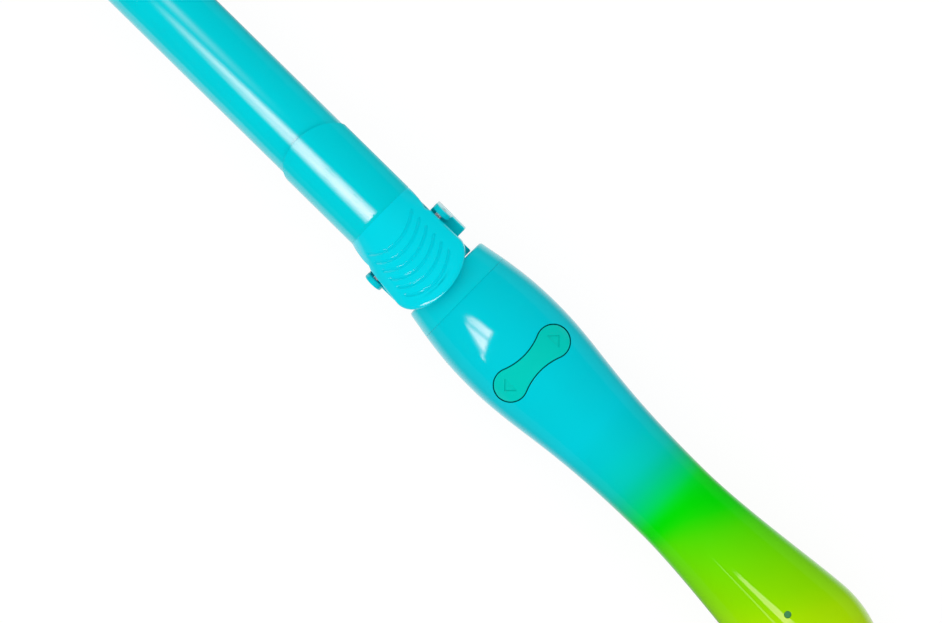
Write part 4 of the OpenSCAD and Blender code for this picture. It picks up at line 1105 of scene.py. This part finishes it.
def makeStage(s):
    # A floor that glows white for the camera and through clear pieces, and in gloss only in a band along the
    # iron, narrower towards the handle's end, and that shows the object's soft shadow
    half = s["floorSize"] / 2
    mesh = bpy.data.meshes.new("floor")
    mesh.from_pydata([(-half, -half, 0), (half, -half, 0), (half, half, 0), (-half, half, 0)], [],
                     [(0, 1, 2, 3)])
    floor = addObject("floor", mesh)
    material, tree = newMaterial("floorPaper")
    mesh.materials.append(material)
    material.cycles.emission_sampling = "NONE"  # so that the Light Path rules hold for all its light
    shader = tree.nodes["Principled BSDF"].inputs
    shader["Roughness"].default_value = 1.0
    shader["Specular IOR Level"].default_value = 0.0
    shader["Base Color"].default_value = (*[s["floorColour"]] * 3, 1)
    shader["Emission Color"].default_value = s["white"]
    light = addNode(tree, "LightPath").outputs
    across = addNode(tree, "SeparateXYZ", {0: addNode(tree, "TexCoord").outputs["Object"]}).outputs
    lean, middle = s["glossLean"]
    shift = addMath(tree, "MULTIPLY_ADD", across["X"], -lean, lean * middle)
    slant = addMath(tree, "ADD", across["Y"], shift)
    inward = addMath(tree, "ADD", slant, addRange(tree, across["X"], *s["narrowing"]))
    left = addRange(tree, slant, *s["glossLeft"], 0, s["glossGlow"], True)
    right = addRange(tree, inward, *s["glossRight"], 1, 0, True)
    inGloss = addMath(tree, "MULTIPLY", addMath(tree, "MULTIPLY", left, right), light["Is Glossy Ray"])
    seen = addMath(tree, "MAXIMUM", light["Is Camera Ray"], light["Is Transmission Ray"])
    glow = addMath(tree, "MAXIMUM", addMath(tree, "MULTIPLY", seen, s["floorGlow"]), inGloss)
    tree.links.new(glow, shader["Emission Strength"])

    # The room: white to the camera, nearly dark in reflections, and an even level for diffuse light
    world = bpy.data.worlds.new("room")
    bpy.context.scene.world = world
    world.cycles.sampling_method = "NONE"
    world.use_nodes = True
    tree = world.node_tree
    up = addNode(tree, "SeparateXYZ", {0: addNode(tree, "TexCoord").outputs["Generated"]}).outputs["Z"]
    level = addRange(tree, up, *s["worldRise"], s["worldHorizon"], s["worldZenith"], True)
    light = addNode(tree, "LightPath").outputs
    strength = addMix(tree, light["Is Diffuse Ray"], level, s["worldDiffuse"])
    strength = addMix(tree, light["Is Camera Ray"], strength, 1.0)
    background = tree.nodes["Background"].inputs
    background["Color"].default_value = s["white"]
    tree.links.new(strength, background["Strength"])


def edge(inside, width):
    # 1 well inside an edge and 0 well outside, smoothly over its width
    t = np.clip(inside / width + 0.5, 0, 1)
    return t * t * (3 - 2 * t)


def bell(value, middle, width):
    # exp(-((value - middle) / width)^2)
    return np.exp(-((value - middle) / width) ** 2)


def series(terms, u):
    # The first term, plus the second times u, plus the third times u squared, and so on
    return np.polyval(terms[::-1], u)


barrelSheet = {
    "x": (-0.2, -0.02), "y": (-0.3, 0.12), "height": 0.2, "step": 0.004, "middle": 0.1, "unit": 0.05,
    "top": (-0.044, 0.016, 0.0008), "topSoft": (0.08, -0.0005, -0.0111), "bottom": (-0.112, -0.015),
    "bottomSoft": (0.1535, 0.047), "level": (22.7, 8.4, -8.0),
    "dip": (0.391, -0.116, -0.0835, 0.0388, 0.0263), "second": (5.13, 0.0234, 0.0281, -0.138, 0.0953),
    "pieces": ["barrelTube", "coolTip", "clampSpoon"],
}


def barrelGlow(s, x, y):
    # A long soft window over the barrel, dimmer towards the tip and with a thin bar along it, and a second
    # window beyond the bar near the tip
    u = (x + s["middle"]) / s["unit"]
    top, topSoft, bottom, bottomSoft, level = (series(s[key], u) for key in
                                               ("top", "topSoft", "bottom", "bottomSoft", "level"))
    body = edge(top - y, topSoft) * edge(y - bottom, bottomSoft)
    share, fall, middle, slope, width = s["dip"]
    bar = 1 - np.clip(share + fall * u, 0, 1) * bell(y, middle + slope * u, width)
    level2, middle2, width2, end, softness = s["second"]
    return np.clip(level, 0, None) * body * bar + level2 * bell(y, middle2, width2) * edge(end - x, softness)


handleSheet = {
    "x": (-0.09, 0.03), "y": (-0.33, 0.03), "height": 0.2, "step": 0.002, "middle": 0.02, "unit": 0.02,
    "right": (-0.0024, -0.0425, 0.0055, 0.1), "top": (-0.038, 0.0059, -0.0003, 0.0124), "topSoft": 0.03,
    "left": (-0.0461, 0.6733, 0.1321), "leftSoft": (0.015, 0.7779), "bar": (0.561, -0.0939, 0.0111, 0.0173),
    "level": (13.2, 2.9), "tail": (9.0, 0.0035, 0.0035), "tailEnd": (-0.215, 0.06), "pieces": ["frontShell"],
}


def handleGlow(s, x, y):
    # A kite over the handle: a straight right edge, a rounded top, a left edge that runs in below to meet
    # it, a bar across, and a thin tail that carries the right edge on
    v = (x + s["middle"]) / s["unit"]
    start, slope, softness, along = s["right"]
    fromRight = start + slope * (y + along) - x
    top = edge(series(s["top"], v) - y, s["topSoft"])
    start2, slope2, corner = s["left"]
    low = np.clip(-y - corner, 0, None)
    left = edge(x - start2 - slope2 * low, series(s["leftSoft"], low))
    share, middle, lean, width = s["bar"]
    bar = 1 - share * bell(y, middle + lean * v, width)
    kite = np.clip(series(s["level"], v), 0, None) * edge(fromRight, softness) * top * left * bar
    level, inside, width = s["tail"]
    end, softness = s["tailEnd"]
    return np.maximum(kite, level * bell(fromRight, inside, width) * edge(end - y, softness))


lowSheet = {
    "x": (0.07, 0.17), "y": (-0.08, 0.02), "height": 0.12, "step": 0.001,
    "lines": [{"from": (0.1135, -0.0244, 0.006), "to": (0.141, -0.0150, 0.0125), "level": 6.5},
              {"from": (0.106, -0.0521, 0.0018), "to": (0.136, -0.0533, 0.0038), "level": 3.0}],
    "soft": (0.003, 0.004, 0.008), "pieces": ["frontShell"],
}


def lowGlow(s, x, y):
    # Two streaks over the handle's far end: bars that widen from one (x, y, half width) to another
    total = 0 * x
    softSide, softStart, softEnd = s["soft"]
    for line in s["lines"]:
        (x0, y0, w0), (x1, y1, w1) = line["from"], line["to"]
        t = (x - x0) / (x1 - x0)
        inside = w0 + (w1 - w0) * t - abs(y - y0 - (y1 - y0) * t)
        total += line["level"] * edge(inside, softSide) * edge(x - x0, softStart) * edge(x1 - x, softEnd)
    return total


def makeGlow(name, points, glow, pieces, colour):
    # A sheet of light that shows only in the gloss of the named pieces: points, each with its radiance
    mesh = bpy.data.meshes.new(name)
    quads = cellsOf(*points.shape[:2])[..., [0, 3, 2, 1]]
    mesh.from_pydata(points.reshape(-1, 3), [], quads.reshape(-1, 4).tolist())
    mesh.attributes.new("glow", "FLOAT", "POINT").data.foreach_set("value", glow.ravel())
    material, tree = newMaterial(name)
    mesh.materials.append(material)
    tree.nodes.clear()
    share = addNode(tree, "Attribute", attribute_name="glow").outputs["Fac"]
    light = addNode(tree, "Emission", {"Strength": share, "Color": colour})
    both = addNode(tree, "AddShader", {0: light.outputs[0], 1: addNode(tree, "BsdfTransparent").outputs[0]})
    addNode(tree, "OutputMaterial", {"Surface": both.outputs[0]})
    sheet = addObject(name, mesh)
    sheet.visible_camera = sheet.visible_diffuse = sheet.visible_transmission = sheet.visible_shadow = False
    sheet.light_linking.receiver_collection = bpy.data.collections.new(name)
    for piece in pieces:
        sheet.light_linking.receiver_collection.objects.link(bpy.data.objects[piece])


def ballPoints(around, down):
    # Points of a ball of radius 1, by the angle round it and the angle down from its top
    return np.stack([np.sin(down) * np.cos(around), np.sin(down) * np.sin(around), np.cos(down)], -1)


leverLamp = {"centre": (-0.01, 0.0, 0.03), "radius": 0.4, "azimuth": (-80.0, -8.0, 8.0, 24.0),
             "polar": (61.0, 83.0, 4.0), "level": 10.5, "steps": (52, 25)}


def makeLeverLamp(s):
    # Part of a ball round the lever, low on its tail's side: it lights the tail's rim and the grooves
    first, last, softFirst, softLast = s["azimuth"]
    top, bottom, soft = s["polar"]
    columns, rows = s["steps"]
    around, down = np.meshgrid(np.linspace(first, last, columns), np.linspace(top, bottom, rows),
                               indexing="ij")
    glow = s["level"] * edge(around - first - softFirst / 2, softFirst) * edge(last - softLast / 2 - around,
                                                                               softLast)
    glow = glow * edge(down - top - soft / 2, soft) * edge(bottom - soft / 2 - down, soft)
    ball = np.array(s["centre"]) + s["radius"] * ballPoints(np.radians(around), np.radians(down))
    makeGlow("lampForLever", ball, glow, ["thumbLever"], stage["sheetColour"])


metalSky = {"radius": 1.2, "overhead": 0.95, "horizon": 0.35, "fall": 0.5, "low": 89, "high": 1,
            "steps": (49, 23), "metals": ["steel", "aluminium", "brass"]}


def makeMetalSky(s):
    # Half a ball over everything that only bare metal reflects, brighter overhead than low down
    columns, rows = s["steps"]
    around, down = np.meshgrid(np.radians(np.linspace(0, 360, columns)),
                               np.radians(np.linspace(s["high"], s["low"], rows)), indexing="ij")
    glow = s["horizon"] + (s["overhead"] - s["horizon"]) * np.cos(down) ** s["fall"]
    metals = [materials[name] for name in s["metals"]]
    pieces = [o.name for o in bpy.data.objects if o.type == "MESH" and o.data.materials[:1]
              and o.data.materials[0] in metals]
    makeGlow("skyForMetal", s["radius"] * ballPoints(around, down), glow, pieces, stage["white"])


def makeLights(s):
    # Two broad lamps for the plain light, whose energy is 4 pi times the level and the distance squared, and
    # the sheets whose shapes show in the gloss
    for fill in s["fills"]:
        lamp = bpy.data.lights.new(fill["name"], "AREA")
        lamp.shape, lamp.size = "DISK", fill["size"]
        place = np.array(fill["place"])
        lamp.energy = 4 * np.pi * fill["level"] * (place ** 2).sum()
        light = addObject(fill["name"], lamp)
        light.location = fill["place"]
        light.rotation_euler = (-np.arctan2(place[1], place[2]), np.arctan2(place[0], np.hypot(*place[1:])),
                                0)
        light.visible_glossy = False
    for name, sheet, glow in (("sheetOverBarrel", barrelSheet, barrelGlow),
                              ("sheetOverHandle", handleSheet, handleGlow), ("sheetOverFarEnd", lowSheet,
                                                                             lowGlow)):
        x, y = np.meshgrid(*(np.arange(*sheet[key], sheet["step"]) for key in ("x", "y")), indexing="ij")
        points = np.stack([x, y, sheet["height"] + 0 * x], -1)
        makeGlow(name, points, glow(sheet, x, y), sheet["pieces"], s["sheetColour"])
    makeLeverLamp(leverLamp)
    makeMetalSky(metalSky)


makeStage(stage)
makeLights(stage)

cameraAt = {"lens": 200.0, "sensor": 36.0, "place": (0.0014, -0.0019, 1.7614), "turn": 44.5}
camera = addObject("camera", bpy.data.cameras.new("camera"))
camera.data.lens, camera.data.sensor_width = cameraAt["lens"], cameraAt["sensor"]
camera.location, camera.rotation_euler = cameraAt["place"], (0, 0, np.radians(cameraAt["turn"]))
bpy.context.scene.camera = camera
bpy.context.scene.view_settings.view_transform = "Standard"
print("stage, lamps and camera set")
